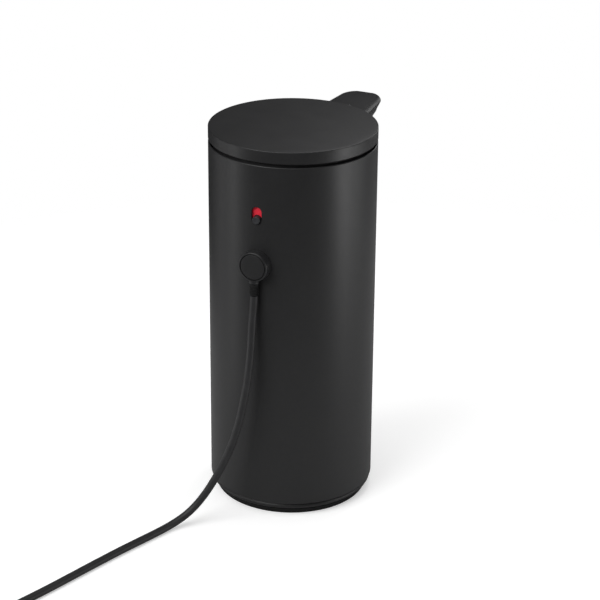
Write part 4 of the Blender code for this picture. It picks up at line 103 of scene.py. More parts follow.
def arithmetic(operation: str, reflected: bool = False) -> Callable[["Wire", Any], "Wire"]:
    """Return a method that adds a Math node for an operator.

    Args:
        operation: The Math node's operation.
        reflected: Whether the wire comes second.

    Returns:
        The method.
    """
    def method(wire: "Wire", other: Any) -> "Wire":
        """Return the wire of the operation's result."""
        first, second = (other, wire) if reflected else (wire, other)
        return wire.sheet.node("ShaderNodeMath", {"operation": operation}, {0: first, 1: second})

    return method


class Wire:
    """One output socket, with the arithmetic that node expressions use."""

    __add__ = arithmetic("ADD")
    __radd__ = arithmetic("ADD", reflected=True)
    __sub__ = arithmetic("SUBTRACT")
    __rsub__ = arithmetic("SUBTRACT", reflected=True)
    __mul__ = arithmetic("MULTIPLY")
    __rmul__ = arithmetic("MULTIPLY", reflected=True)
    __truediv__ = arithmetic("DIVIDE")
    greater = arithmetic("MAXIMUM")

    def __init__(self, sheet: "NodeSheet", socket: bpy.types.NodeSocket | None) -> None:
        """Wrap a socket of a sheet's node tree."""
        self.sheet = sheet
        self.socket = socket

    def apply(self, operation: str) -> "Wire":
        """Return the result of a Math node that takes one value, such as a sine."""
        return self.sheet.node("ShaderNodeMath", {"operation": operation}, {0: self})

    def beside(self, output: str | int) -> "Wire":
        """Return another output of the same node."""
        return Wire(self.sheet, self.socket.node.outputs[output])

    def band(self, low: float, high: float) -> "Wire":
        """Return a smooth ramp from zero at low to one at high.

        Args:
            low: The value that gives zero.
            high: The value that gives one.

        Returns:
            The ramp's wire.
        """
        return self.sheet.node(
            "ShaderNodeMapRange", {"interpolation_type": "SMOOTHSTEP"},
            {"Value": self, "From Min": low, "From Max": high},
        )


class NodeSheet:
    """A node tree whose nodes all come from one method."""

    def __init__(self, tree: bpy.types.NodeTree) -> None:
        """Take a tree."""
        self.tree = tree

    def node(
        self, kind: str, settings: dict[str, Any] | None = None,
        sockets: dict[str | int, Any] | None = None, output: str | int = 0,
    ) -> Wire:
        """Add a node of any kind.

        Args:
            kind: The node's type.
            settings: Its properties, set before its sockets.
            sockets: A value or a wire for each named or numbered input.
            output: The output that is returned.

        Returns:
            The wire of that output.
        """
        made = self.tree.nodes.new(kind)
        for name, value in (settings or {}).items():
            setattr(made, name, value)
        for name, value in (sockets or {}).items():
            target = made.inputs[name]
            if isinstance(value, Wire):
                self.tree.links.new(value.socket, target)
            elif target.type == "RGBA":
                target.default_value = (*value, 1.0)
            else:
                target.default_value = value
        return Wire(self, made.outputs[output] if len(made.outputs) else None)


class ShaderSheet(NodeSheet):
    """The node tree of one material or world, written as expressions."""

    def __init__(self, holder: bpy.types.Material | bpy.types.World) -> None:
        """Start the empty tree of a material or world.

        Args:
            holder: The material or world.
        """
        holder.use_nodes = True
        holder.node_tree.nodes.clear()
        super().__init__(holder.node_tree)
        self.holder = holder

    def place(self) -> Wire:
        """Return the object coordinates."""
        return self.node("ShaderNodeTexCoord", output="Object")

    def axes(self) -> tuple[Wire, Wire, Wire]:
        """Return the three object coordinates as numbers."""
        x = self.node("ShaderNodeSeparateXYZ", sockets={0: self.place()})
        return x, x.beside(1), x.beside(2)

    def radius(self, centre: Place = (0.0, 0.0)) -> Wire:
        """Return the distance in metres from an upright axis.

        Args:
            centre: The axis's x and y.

        Returns:
            The distance's wire.
        """
        x, y, _ = self.axes()
        across, along = x - centre[0], y - centre[1]
        return (across * across + along * along).apply("SQRT")

    def stretched(self, stretch: Point) -> Wire:
        """Return the object coordinates, denser along each axis by a number of times."""
        return self.node("ShaderNodeMapping", sockets={"Vector": self.place(), "Scale": stretch})

    def noise(
        self, size: float, detail: float = 3.0, stretch: Point = EVEN, roughness: float = 0.5,
    ) -> Wire:
        """Return noise of a grain size.

        Args:
            size: The grain's size in metres.
            detail: The noise's detail.
            stretch: How much denser the grain is along each axis.
            roughness: How strong the finer octaves are.

        Returns:
            The noise's wire, from 0 to 1.
        """
        return self.node(
            "ShaderNodeTexNoise", {"noise_dimensions": "3D"},
            {"Vector": self.stretched(stretch), "Scale": 1 / size, "Detail": detail,
             "Roughness": roughness},
        )

    def cells(self, size: float, smoothness: float = 0.6) -> Wire:
        """Return the distance pattern of rounded cells.

        Args:
            size: The cells' size in metres.
            smoothness: How round the cells are.

        Returns:
            The distance's wire.
        """
        return self.node(
            "ShaderNodeTexVoronoi", {"feature": "SMOOTH_F1"},
            {"Vector": self.stretched(EVEN), "Scale": 1 / size, "Smoothness": smoothness},
        )

    def mix(self, share: Wire, first: Wire | Colour, second: Wire | Colour) -> Wire:
        """Mix two colours, through the Mix node's sockets for colours.

        Args:
            share: How much of the second colour there is.
            first: A colour or a wire.
            second: A colour or a wire.

        Returns:
            The mixed colour's wire.
        """
        factor, colour_a, colour_b, result = 0, 6, 7, 2
        sockets = {factor: share, colour_a: first, colour_b: second}
        return self.node("ShaderNodeMix", {"data_type": "RGBA"}, sockets, result)

    def bump(self, height: Wire, depth: float) -> Wire:
        """Return a normal bent by a height.

        Args:
            height: The height's wire, from 0 to 1.
            depth: The height's depth in metres.

        Returns:
            The normal's wire.
        """
        return self.node(
            "ShaderNodeBump", sockets={"Height": height, "Distance": depth, "Strength": 1.0}
        )

    def close(self, **sockets: Any) -> bpy.types.Material:
        """End the sheet in a Principled shader.

        Args:
            sockets: Values or wires for the shader's inputs, with underscores for spaces.

        Returns:
            The finished material.
        """
        named = {name.replace("_", " "): value for name, value in sockets.items()}
        shader = self.node("ShaderNodeBsdfPrincipled", sockets=named)
        self.node("ShaderNodeOutputMaterial", sockets={"Surface": shader})
        return self.holder


# Finishes

def times(colour: Colour, factor: float) -> Colour:
    """Return a colour that is a number of times as bright."""
    return tuple(channel * factor for channel in colour)


@dataclass(frozen=True)
class Finish:
    """A finish with a name, a colour and an even roughness."""

    name: str
    colour: Colour
    roughness: float

    def material(self) -> bpy.types.Material:
        """Return the finish as a material."""
        sheet = ShaderSheet(bpy.data.materials.new(self.name))
        return self.draw(sheet)

    def draw(self, sheet: ShaderSheet) -> bpy.types.Material:
        """Draw the finish on an empty sheet."""
        return sheet.close(Base_Color=self.colour, Roughness=self.roughness)


@dataclass(frozen=True)
class CoatedFinish(Finish):
    """A coated or moulded finish with fine grain, cloudy gloss and polished edges, whose rim band also
    carries a painted highlight.
    """

    specular: float
    texture: Texture
    grain: float
    depth: float
    edge_radius: float = 0.0
    edge_width: float = 0.3 * MM
    edge_gloss: float = 0.03
    # The next two set how much and how far a painted highlight pales the rim band's colour.
    edge_highlight_share: float = 0.35
    edge_highlight_gain: float = 1.7
    edge_grain: float = 1.6 * MM
    cloud_size: float = 9.0 * MM
    cloud_range: float = 0.12
    cloud_share: float = 0.6
    pale: float = 1.14
    deep: float = 0.88
    powder_share: float = 0.65
    spark_share: float = 0.7
    soft_share: float = 0.8
    soft_swell: float = 3.0 * MM

    def draw(self, sheet: ShaderSheet) -> bpy.types.Material:
        """Draw the finish on an empty sheet.

        Args:
            sheet: The sheet.

        Returns:
            The material.
        """
        cloud = sheet.noise(self.cloud_size, 2.0)
        height = self._height(sheet)
        blend = cloud * self.cloud_share + height * (1 - self.cloud_share)
        colour = sheet.mix(blend, times(self.colour, self.deep), times(self.colour, self.pale))
        rough = (1 - self.cloud_range / 2 + self.cloud_range * cloud) * self.roughness
        if self.edge_radius:
            # Rim band: lower roughness, plus a painted highlight that pales the colour.
            polish_and_highlight = self._rim_polish_and_highlight(sheet) * sheet.noise(self.edge_grain, 4.0)
            rough = rough - polish_and_highlight * self.edge_gloss
            colour = sheet.mix(polish_and_highlight * self.edge_highlight_share, colour, times(self.colour, self.edge_highlight_gain))
        return sheet.close(
            Base_Color=colour, Roughness=rough, Specular_IOR_Level=self.specular,
            Normal=sheet.bump(height, self.depth),
        )

    def _rim_polish_and_highlight(self, sheet: ShaderSheet) -> Wire:
        """Return the mask of the narrow band along the round edge: lower roughness there, and a painted
        highlight that pales the colour.
        """
        distance, radius, width = sheet.radius(), self.edge_radius, self.edge_width
        return distance.band(radius - width, radius) - distance.band(radius + width / 3, radius + width)

    def _height(self, sheet: ShaderSheet) -> Wire:
        """Return the height of the finish's kind of texture.

        Args:
            sheet: The sheet.

        Returns:
            The height's wire, from 0 to 1.
        """
        grain = self.grain
        if self.texture is Texture.SATIN:
            return sheet.noise(grain, 3.0, roughness=0.6)
        if self.texture is Texture.POWDER:
            fine, coarse, share = sheet.noise(grain, 2.0), sheet.noise(grain * 4, 1.0), self.powder_share
        elif self.texture is Texture.SPARK:
            fine, coarse, share = sheet.cells(grain), sheet.noise(grain / 2, 2.0), self.spark_share
        else:
            fine, coarse = sheet.noise(grain, 4.0, roughness=0.7), sheet.noise(self.soft_swell, 1.0)
            share = self.soft_share
        return fine * share + coarse * (1 - share)


@dataclass(frozen=True)
class JacketFinish(Finish):
    """The cord's extruded jacket, with fine grain and a little bloom."""

    bloom_size: float = 5.0 * MM
    bloom_pale: float = 1.3
    bloom_rough: float = 0.1
    bloom_band: Place = (0.35, 0.8)
    grain: float = 0.25 * MM
    depth: float = 0.012 * MM
    specular: float = 0.4

    def draw(self, sheet: ShaderSheet) -> bpy.types.Material:
        """Draw the finish on an empty sheet.

        Args:
            sheet: The sheet.

        Returns:
            The material.
        """
        bloom = sheet.noise(self.bloom_size, 3.0)
        pale = times(self.colour, self.bloom_pale)
        return sheet.close(
            Base_Color=sheet.mix(bloom.band(*self.bloom_band), self.colour, pale),
            Roughness=self.roughness + self.bloom_rough * bloom, Specular_IOR_Level=self.specular,
            Normal=sheet.bump(sheet.noise(self.grain, 2.0), self.depth),
        )


@dataclass(frozen=True)
class MetalFinish(Finish):
    """Turned, rolled or plated metal with fine lines and a patchy film."""

    line_size: float = 1.2 * MM
    line_stretch: Point = (1.0, 1.0, 14.0)
    line_depth: float = 0.006 * MM
    film_size: float = 5.0 * MM
    film_band: Place = (0.3, 0.8)
    dull: float = 0.7
    dirt_shares: Place = (0.6, 0.25)
    rough_shares: Place = (0.18, 0.08)

    def draw(self, sheet: ShaderSheet) -> bpy.types.Material:
        """Draw the finish on an empty sheet.

        Args:
            sheet: The sheet.

        Returns:
            The material.
        """
        lines = sheet.noise(self.line_size, 4.0, self.line_stretch, roughness=0.6)
        film = sheet.noise(self.film_size, 3.0)
        film_dirt, line_dirt = self.dirt_shares
        line_rough, film_rough = self.rough_shares
        dirt = film.band(*self.film_band) * film_dirt + lines * line_dirt
        return sheet.close(
            Base_Color=sheet.mix(dirt, self.colour, times(self.colour, self.dull)), Metallic=1.0,
            Roughness=self.roughness + line_rough * lines + film_rough * film,
            Normal=sheet.bump(lines, self.line_depth),
        )


@dataclass(frozen=True)
class ClearFinish(Finish):
    """Milky plastic or silicone that lets some light through."""

    through: float
    subsurface: float = 0.0
    flow_size: float = 12.0 * MM
    flow_stretch: Point = (1.0, 1.0, 0.3)
    flow_deep: float = 0.86
    flow_rough: float = 0.15
    scatter: float = 1.0 * MM
    refraction: float = 1.45
    speck_size: float = 0.4 * MM
    speck_depth: float = 0.006 * MM

    def draw(self, sheet: ShaderSheet) -> bpy.types.Material:
        """Draw the finish on an empty sheet.

        Args:
            sheet: The sheet.

        Returns:
            The material.
        """
        flow = sheet.noise(self.flow_size, 3.0, self.flow_stretch)
        return sheet.close(
            Base_Color=sheet.mix(flow, times(self.colour, self.flow_deep), self.colour),
            Roughness=self.roughness + self.flow_rough * flow, Transmission_Weight=self.through,
            Subsurface_Weight=self.subsurface, Subsurface_Scale=self.scatter, IOR=self.refraction,
            Normal=sheet.bump(sheet.noise(self.speck_size, 2.0), self.speck_depth),
        )


@dataclass(frozen=True)
class BoardFinish(Finish):
    """A circuit board's lacquer with copper tracks showing under it."""

    track_pitch: float = 1.3 * MM
    track_depth: float = 0.02 * MM
    track_band: Place = (0.55, 0.7)
    level_pitch: float = 5.0
    level_band: Place = (-0.4, -0.3)
    bend_size: float = 9.0 * MM
    bends: Place = (3.0, 4.0)
    copper_gain: float = 1.9
    copper_lift: float = 0.02
    grain: float = 0.5 * MM
    grain_rough: float = 0.15

    def draw(self, sheet: ShaderSheet) -> bpy.types.Material:
        """Draw the finish on an empty sheet.

        Args:
            sheet: The sheet.

        Returns:
            The material.
        """
        x, _, z = sheet.axes()
        bend = sheet.noise(self.bend_size, 0.0)
        across, along = self.bends
        wave = ((x / self.track_pitch + bend * across) * (2 * pi)).apply("SINE")
        slow = 2 * pi / (self.track_pitch * self.level_pitch)
        level = (z * slow + bend * along).apply("SINE")
        track = wave.band(*self.track_band) * level.band(*self.level_band)
        bright = tuple(channel * self.copper_gain + self.copper_lift for channel in self.colour)
        return sheet.close(
            Base_Color=sheet.mix(track, self.colour, bright),
            Roughness=self.roughness + self.grain_rough * sheet.noise(self.grain, 2.0),
            Normal=sheet.bump(track, self.track_depth),
        )


@dataclass(frozen=True)
class LaminateFinish(Finish):
    """Stacked iron sheets with dark gaps between them."""

    sheet_height: float = 0.5 * MM
    gap_depth: float = 0.03 * MM
    gap_band: Place = (0.2, 0.9)
    gap_share: float = 0.7
    gap_dark: float = 0.5
    film_size: float = 2.0 * MM
    film_rough: float = 0.2

    def draw(self, sheet: ShaderSheet) -> bpy.types.Material:
        """Draw the finish on an empty sheet.

        Args:
            sheet: The sheet.

        Returns:
            The material.
        """
        _, _, z = sheet.axes()
        wave = (z * (2 * pi / self.sheet_height)).apply("SINE")
        film = sheet.noise(self.film_size, 3.0)
        share = wave.band(*self.gap_band) * self.gap_share + film * (1 - self.gap_share)
        return sheet.close(
            Base_Color=sheet.mix(share, self.colour, times(self.colour, self.gap_dark)),
            Metallic=1.0, Roughness=self.roughness + self.film_rough * film,
            Normal=sheet.bump(wave, self.gap_depth),
        )


class Finishes:
    """Every finish of the dispenser, made once and shared by its pieces."""

    BLACK = (0.0160, 0.0160, 0.0166)
    # Each row: name, colour, roughness, specular, texture, grain, depth and, where given, the radius of the
    # rim band that gets polish and a painted highlight.
    COATED = (
        ("body_black", BLACK, 0.45, 0.45, Texture.POWDER, 0.32 * MM, 0.010 * MM, BODY_RADIUS),
        ("lid_black", BLACK, 0.45, 0.45, Texture.POWDER, 0.32 * MM, 0.010 * MM, BODY_RADIUS),
        ("base_plastic", (0.0150, 0.0150, 0.0156), 0.45, 0.45, Texture.SPARK, 0.2 * MM, 0.01 * MM, 36.9 * MM),
        ("soft_rubber", (0.010, 0.010, 0.0103), 0.78, 0.3, Texture.SOFT, 0.4 * MM, 0.03 * MM),
        ("core_plastic", (0.014, 0.014, 0.0145), 0.6, 0.3, Texture.SPARK, 0.3 * MM, 0.02 * MM),
        ("pump_plastic", (0.50, 0.47, 0.40), 0.35, 0.5, Texture.SATIN, 0.4 * MM, 0.01 * MM),
        ("magnet_black", (0.055, 0.055, 0.06), 0.6, 0.5, Texture.SPARK, 0.25 * MM, 0.03 * MM),
        ("cell_wrap", (0.035, 0.15, 0.42), 0.25, 0.5, Texture.SATIN, 1.5 * MM, 0.03 * MM),
        ("knob_grey", (0.030, 0.031, 0.034), 0.5, 0.4, Texture.SPARK, 0.15 * MM, 0.01 * MM),
        ("flag_red", (0.85, 0.026, 0.052), 0.4, 0.4, Texture.SATIN, 0.3 * MM, 0.006 * MM),
        ("puck_black", (0.017, 0.017, 0.018), 0.4, 0.42, Texture.SATIN, 0.25 * MM, 0.006 * MM),
        ("puck_face_black", (0.0165, 0.0165, 0.0172), 0.5, 0.4, Texture.SPARK, 0.2 * MM, 0.01 * MM),
        ("tongue_white", (0.74, 0.74, 0.72), 0.35, 0.5, Texture.SATIN, 0.4 * MM, 0.006 * MM),
        ("sensor_glass", (0.012, 0.006, 0.009), 0.08, 0.6, Texture.SATIN, 0.8 * MM, 0.002 * MM),
    )
    OTHERS = (
        JacketFinish("cord_rubber", (0.022, 0.022, 0.023), 0.42),
        MetalFinish("steel", (0.56, 0.56, 0.57), 0.28),
        MetalFinish("contact_brass", (0.83, 0.62, 0.30), 0.2),
        ClearFinish("tank_plastic", (0.80, 0.83, 0.84), 0.3, 0.5),
        ClearFinish("silicone", (0.70, 0.70, 0.67), 0.4, 0.2, 0.3),
        BoardFinish("board_green", (0.012, 0.15, 0.055), 0.3),
        LaminateFinish("armature_iron", (0.30, 0.27, 0.24), 0.4),
    )

    def __init__(self) -> None:
        """Make every material."""
        finishes = [*(CoatedFinish(*row) for row in self.COATED), *self.OTHERS]
        self.made = {finish.name: finish.material() for finish in finishes}

    def __getitem__(self, slot: str) -> bpy.types.Material:
        """Return the material of a slot."""
        return self.made[slot]

    def dress_hidden(self, nodes: dict[str, bpy.types.Object], record: dict[str, Any]) -> None:
        """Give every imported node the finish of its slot.

        Args:
            nodes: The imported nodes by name.
            record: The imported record, which names each node's slot.
        """
        slots = {entry["node"]: entry["material_slot"] for entry in record["subparts"]}
        for name, item in nodes.items():
            item.data.materials.clear()
            item.data.materials.append(self.made[slots[name]])


# Mesh helpers

def link(item: bpy.types.Object) -> bpy.types.Object:
    """Put an object in the scene and return it."""
    bpy.context.scene.collection.objects.link(item)
    return item


def mesh_object(name: str, bm: bmesh.types.BMesh) -> bpy.types.Object:
    """Return a linked object with a bmesh's shape.

    Args:
        name: The object's name.
        bm: The shape, which is freed.

    Returns:
        The object.
    """
    mesh = bpy.data.meshes.new(name)
    bm.to_mesh(mesh)
    bm.free()
    return link(bpy.data.objects.new(name, mesh))


def settle(item: bpy.types.Object) -> None:
    """Replace an object's modifiers and place by the mesh that they give.

    Args:
        item: The object.
    """
    bpy.context.view_layer.update()
    depsgraph = bpy.context.evaluated_depsgraph_get()
    mesh = bpy.data.meshes.new_from_object(item.evaluated_get(depsgraph), depsgraph=depsgraph)
    mesh.transform(item.matrix_world)
    item.modifiers.clear()
    item.data = mesh
    item.matrix_world = Matrix.Identity(4)


def clean(mesh: bpy.types.Mesh, outward: bool = True, slivers: bool = False) -> None:
    """Merge a mesh's doubles, drop its slivers and point its faces outwards.

    Args:
        mesh: The mesh.
        outward: Whether the normals are worked out again.
        slivers: Whether faces and edges without size are dropped.
    """
    bm = bmesh.new()
    bm.from_mesh(mesh)
    bmesh.ops.remove_doubles(bm, verts=bm.verts[:], dist=MERGE_GAP)
    if slivers:
        bmesh.ops.dissolve_degenerate(bm, dist=SLIVER, edges=bm.edges[:])
    if outward:
        bmesh.ops.recalc_face_normals(bm, faces=bm.faces[:])
    bm.to_mesh(mesh)
    bm.free()


def boolean(item: bpy.types.Object, operation: str, *tools: bpy.types.Object) -> bpy.types.Object:
    """Carve or join an object with tools, which are removed.

    Args:
        item: The object.
        operation: DIFFERENCE, UNION or INTERSECT.
        tools: The other objects.

    Returns:
        The object.
    """
    for tool in tools:
        modifier = item.modifiers.new("Boolean", "BOOLEAN")
        modifier.operation = operation
        modifier.solver = "EXACT"
        modifier.object = tool
        settle(item)
        mesh = tool.data
        bpy.data.objects.remove(tool)
        bpy.data.meshes.remove(mesh)
    return item


def join(name: str, parts: Iterable[bpy.types.Object]) -> bpy.types.Object:
    """Join objects into one.

    Args:
        name: The joined object's name.
        parts: The objects, which are removed.

    Returns:
        The joined object.
    """
    bm = bmesh.new()
    for part in parts:
        settle(part)
        bm.from_mesh(part.data)
        bpy.data.objects.remove(part)
    return mesh_object(name, bm)


def loft(name: str, rings: Sequence[Sequence[Sequence[float]]], looped: bool = False) -> bpy.types.Object:
    """Skin rings of points one after another.

    Args:
        name: The object's name.
        rings: The rings, each with as many points as the others.
        looped: Whether the last ring meets the first. If not, both ends are capped.

    Returns:
        The object.
    """
    bm = bmesh.new()
    loops = [[bm.verts.new(point) for point in ring] for ring in rings]
    following = loops[1:] + (loops[:1] if looped else [])
    for near, far in zip(loops, following):
        for index in range(len(near)):
            after = (index + 1) % len(near)
            bm.faces.new((near[index], near[after], far[after], far[index]))
    if not looped:
        bm.faces.new(loops[0])
        bm.faces.new(loops[-1])
    bmesh.ops.recalc_face_normals(bm, faces=bm.faces[:])
    return mesh_object(name, bm)


def prism(name: str, outline: Profile, low: float, high: float) -> bpy.types.Object:
    """Return an upright prism.

    Args:
        name: The object's name.
        outline: The outline's x and y places.
        low: The bottom's height.
        high: The top's height.

    Returns:
        The object.
    """
    return loft(name, [[(x, y, height) for x, y in outline] for height in (low, high)])


def soft_box(
    name: str, low: Point, high: Point, edge: float = 0.0, steps: int = 3,
) -> bpy.types.Object:
    """Return a box with rounded edges.

    Args:
        name: The object's name.
        low: The lowest corner.
        high: The highest corner.
        edge: The rounding's width.
        steps: The rounding's steps.

    Returns:
        The object.
    """
    bm = bmesh.new()
    bmesh.ops.create_cube(bm, size=1.0)
    centre = [(a + b) / 2 for a, b in zip(low, high)]
    size = [b - a for a, b in zip(low, high)]
    for vert in bm.verts:
        vert.co = Vector([centre[i] + vert.co[i] * size[i] for i in range(3)])
    if edge:
        bmesh.ops.bevel(
            bm, geom=bm.edges[:], offset=edge, segments=steps, profile=0.5, affect="EDGES",
            clamp_overlap=True,
        )
    return mesh_object(name, bm)


def millimetres(*places: Place) -> list[Place]:
    """Return places that are given in millimetres, in metres."""
    return [(first * MM, second * MM) for first, second in places]


def arc(centre: Place, radius: float, start: float, end: float, steps: int = 8) -> list[Place]:
    """Return points along an arc.

    Args:
        centre: The arc's centre.
        radius: Its radius.
        start: The first angle in degrees.
        end: The last angle in degrees.
        steps: The steps between them.

    Returns:
        The points.
    """
    angles = [radians(start + (end - start) * step / steps) for step in range(steps + 1)]
    return [(centre[0] + radius * cos(a), centre[1] + radius * sin(a)) for a in angles]


def quarters(centres: Sequence[Place], radius: float, steps: int) -> list[Place]:
    """Return the outline made by a quarter round about each of four centres.

    Args:
        centres: The centres, against the clock from the one at the upper right.
        radius: The radius of the quarter rounds.
        steps: The steps of each.

    Returns:
        The outline.
    """
    outline = []
    for turn, centre in enumerate(centres):
        outline += arc(centre, radius, 90 * turn, 90 * (turn + 1), steps)
    return outline


def rounded_outline(
    half_x: float, half_y: float, corner: float, centre: Place = (0, 0), steps: int = 8,
) -> list[Place]:
    """Return the outline of a rectangle with round corners.

    Args:
        half_x: Half the width.
        half_y: Half the length.
        corner: The corners' radius.
        centre: The middle's place.
        steps: The steps of each corner.

    Returns:
        The outline's x and y places.
    """
    reach_x, reach_y = half_x - corner, half_y - corner
    signs = ((1, 1), (-1, 1), (-1, -1), (1, -1))
    centres = [(centre[0] + x * reach_x, centre[1] + y * reach_y) for x, y in signs]
    return quarters(centres, corner, steps)


# Geometry Nodes

class NodeRecipe(NodeSheet):
    """A Geometry Nodes tree with named inputs, built once and used by several pieces."""

    def __init__(self, name: str, inputs: dict[str, tuple[str, Any]]) -> None:
        """Start a tree.

        Args:
            name: The tree's name.
            inputs: For each named input, its socket type and value.
        """
        super().__init__(bpy.data.node_groups.new(name, "GeometryNodeTree"))
        face = self.tree.interface
        face.new_socket(name="Geometry", in_out="INPUT", socket_type="NodeSocketGeometry")
        self.identifiers = {}
        for label, (kind, value) in {**inputs, "Material": ("NodeSocketMaterial", None)}.items():
            socket = face.new_socket(name=label, in_out="INPUT", socket_type=kind)
            if value is not None:
                socket.default_value = value
            self.identifiers[label] = socket.identifier
        face.new_socket(name="Geometry", in_out="OUTPUT", socket_type="NodeSocketGeometry")
        self.start = self.node("NodeGroupInput")

    def given(self, label: str) -> Wire:
        """Return the group input of that name."""
        return self.start.beside(label)

    def close(self, geometry: Wire) -> "NodeRecipe":
        """End the tree in Realize Instances and Set Material.

        Args:
            geometry: The geometry so far.

        Returns:
            The finished recipe.
        """
        real = self.node("GeometryNodeRealizeInstances", sockets={0: geometry})
        sockets = {"Geometry": real, "Material": self.given("Material")}
        dressed = self.node("GeometryNodeSetMaterial", sockets=sockets)
        self.node("NodeGroupOutput", sockets={0: dressed})
        return self

    def bake(self, item: bpy.types.Object, values: dict[str, Any]) -> bpy.types.Object:
        """Run the tree on an object and keep the plain mesh.

        Args:
            item: The object whose mesh goes in.
            values: The named inputs' values.

        Returns:
            The object with the resulting mesh.
        """
        modifier = item.modifiers.new("Recipe", "NODES")
        modifier.node_group = self.tree
        for label, value in values.items():
            modifier[self.identifiers[label]] = value
        settle(item)
        return item


def turning_recipe() -> NodeRecipe:
    """Draw the tree that turns a profile, given as a row of points, round the upright axis.

    Returns:
        The recipe.
    """
    recipe = NodeRecipe("turning", {
        "Sides": ("NodeSocketInt", ROUND_SIDES), "Points": ("NodeSocketInt", 4),
    })
    sides, points = recipe.given("Sides"), recipe.given("Points")
    grid = recipe.node(
        "GeometryNodeMeshGrid",
        sockets={"Vertices X": sides + 1, "Vertices Y": points, "Size X": 1.0, "Size Y": 1.0},
    )
    index = recipe.node("GeometryNodeInputIndex")
    column = (index / points).apply("FLOOR")
    sample = recipe.node(
        "GeometryNodeSampleIndex", {"data_type": "FLOAT_VECTOR", "domain": "POINT"},
        {"Geometry": recipe.given("Geometry"), "Value": recipe.node("GeometryNodeInputPosition"),
         "Index": index - column * points},
    )
    radius = recipe.node("ShaderNodeSeparateXYZ", sockets={0: sample})
    turn = column / sides * (2 * pi)
    x, y = radius * turn.apply("COSINE"), radius * turn.apply("SINE")
    target = recipe.node("ShaderNodeCombineXYZ", sockets={0: x, 1: y, 2: radius.beside(2)})
    moved = recipe.node("GeometryNodeSetPosition", sockets={"Geometry": grid, "Position": target})
    sockets = {"Geometry": moved, "Distance": MERGE_GAP}
    return recipe.close(recipe.node("GeometryNodeMergeByDistance", sockets=sockets))


def row_recipe() -> NodeRecipe:
    """Draw the tree that repeats a shape along a straight row.

    Returns:
        The recipe.
    """
    recipe = NodeRecipe("row", {
        "Count": ("NodeSocketInt", 3), "Start": ("NodeSocketVector", (0.0, 0.0, 0.0)),
        "Pitch": ("NodeSocketVector", (0.0, 0.0, 1.0 * MM)),
    })
    line = recipe.node(
        "GeometryNodeMeshLine", {"mode": "OFFSET"},
        {"Count": recipe.given("Count"), "Start Location": recipe.given("Start"),
         "Offset": recipe.given("Pitch")},
    )
    sockets = {"Points": line, "Instance": recipe.given("Geometry")}
    return recipe.close(recipe.node("GeometryNodeInstanceOnPoints", sockets=sockets))


def circle_recipe() -> NodeRecipe:
    """Draw the tree that repeats a shape round a circle, each turned to face outwards.

    Returns:
        The recipe.
    """
    recipe = NodeRecipe("circle", {
        "Count": ("NodeSocketInt", 12), "Radius": ("NodeSocketFloat", 10.0 * MM),
    })
    count = recipe.given("Count")
    circle = recipe.node(
        "GeometryNodeMeshCircle", sockets={"Vertices": count, "Radius": recipe.given("Radius")}
    )
    turn = recipe.node("GeometryNodeInputIndex") / count * (2 * pi)
    spin = recipe.node("ShaderNodeCombineXYZ", sockets={2: turn})
    sockets = {"Points": circle, "Instance": recipe.given("Geometry"), "Rotation": spin}
    return recipe.close(recipe.node("GeometryNodeInstanceOnPoints", sockets=sockets))


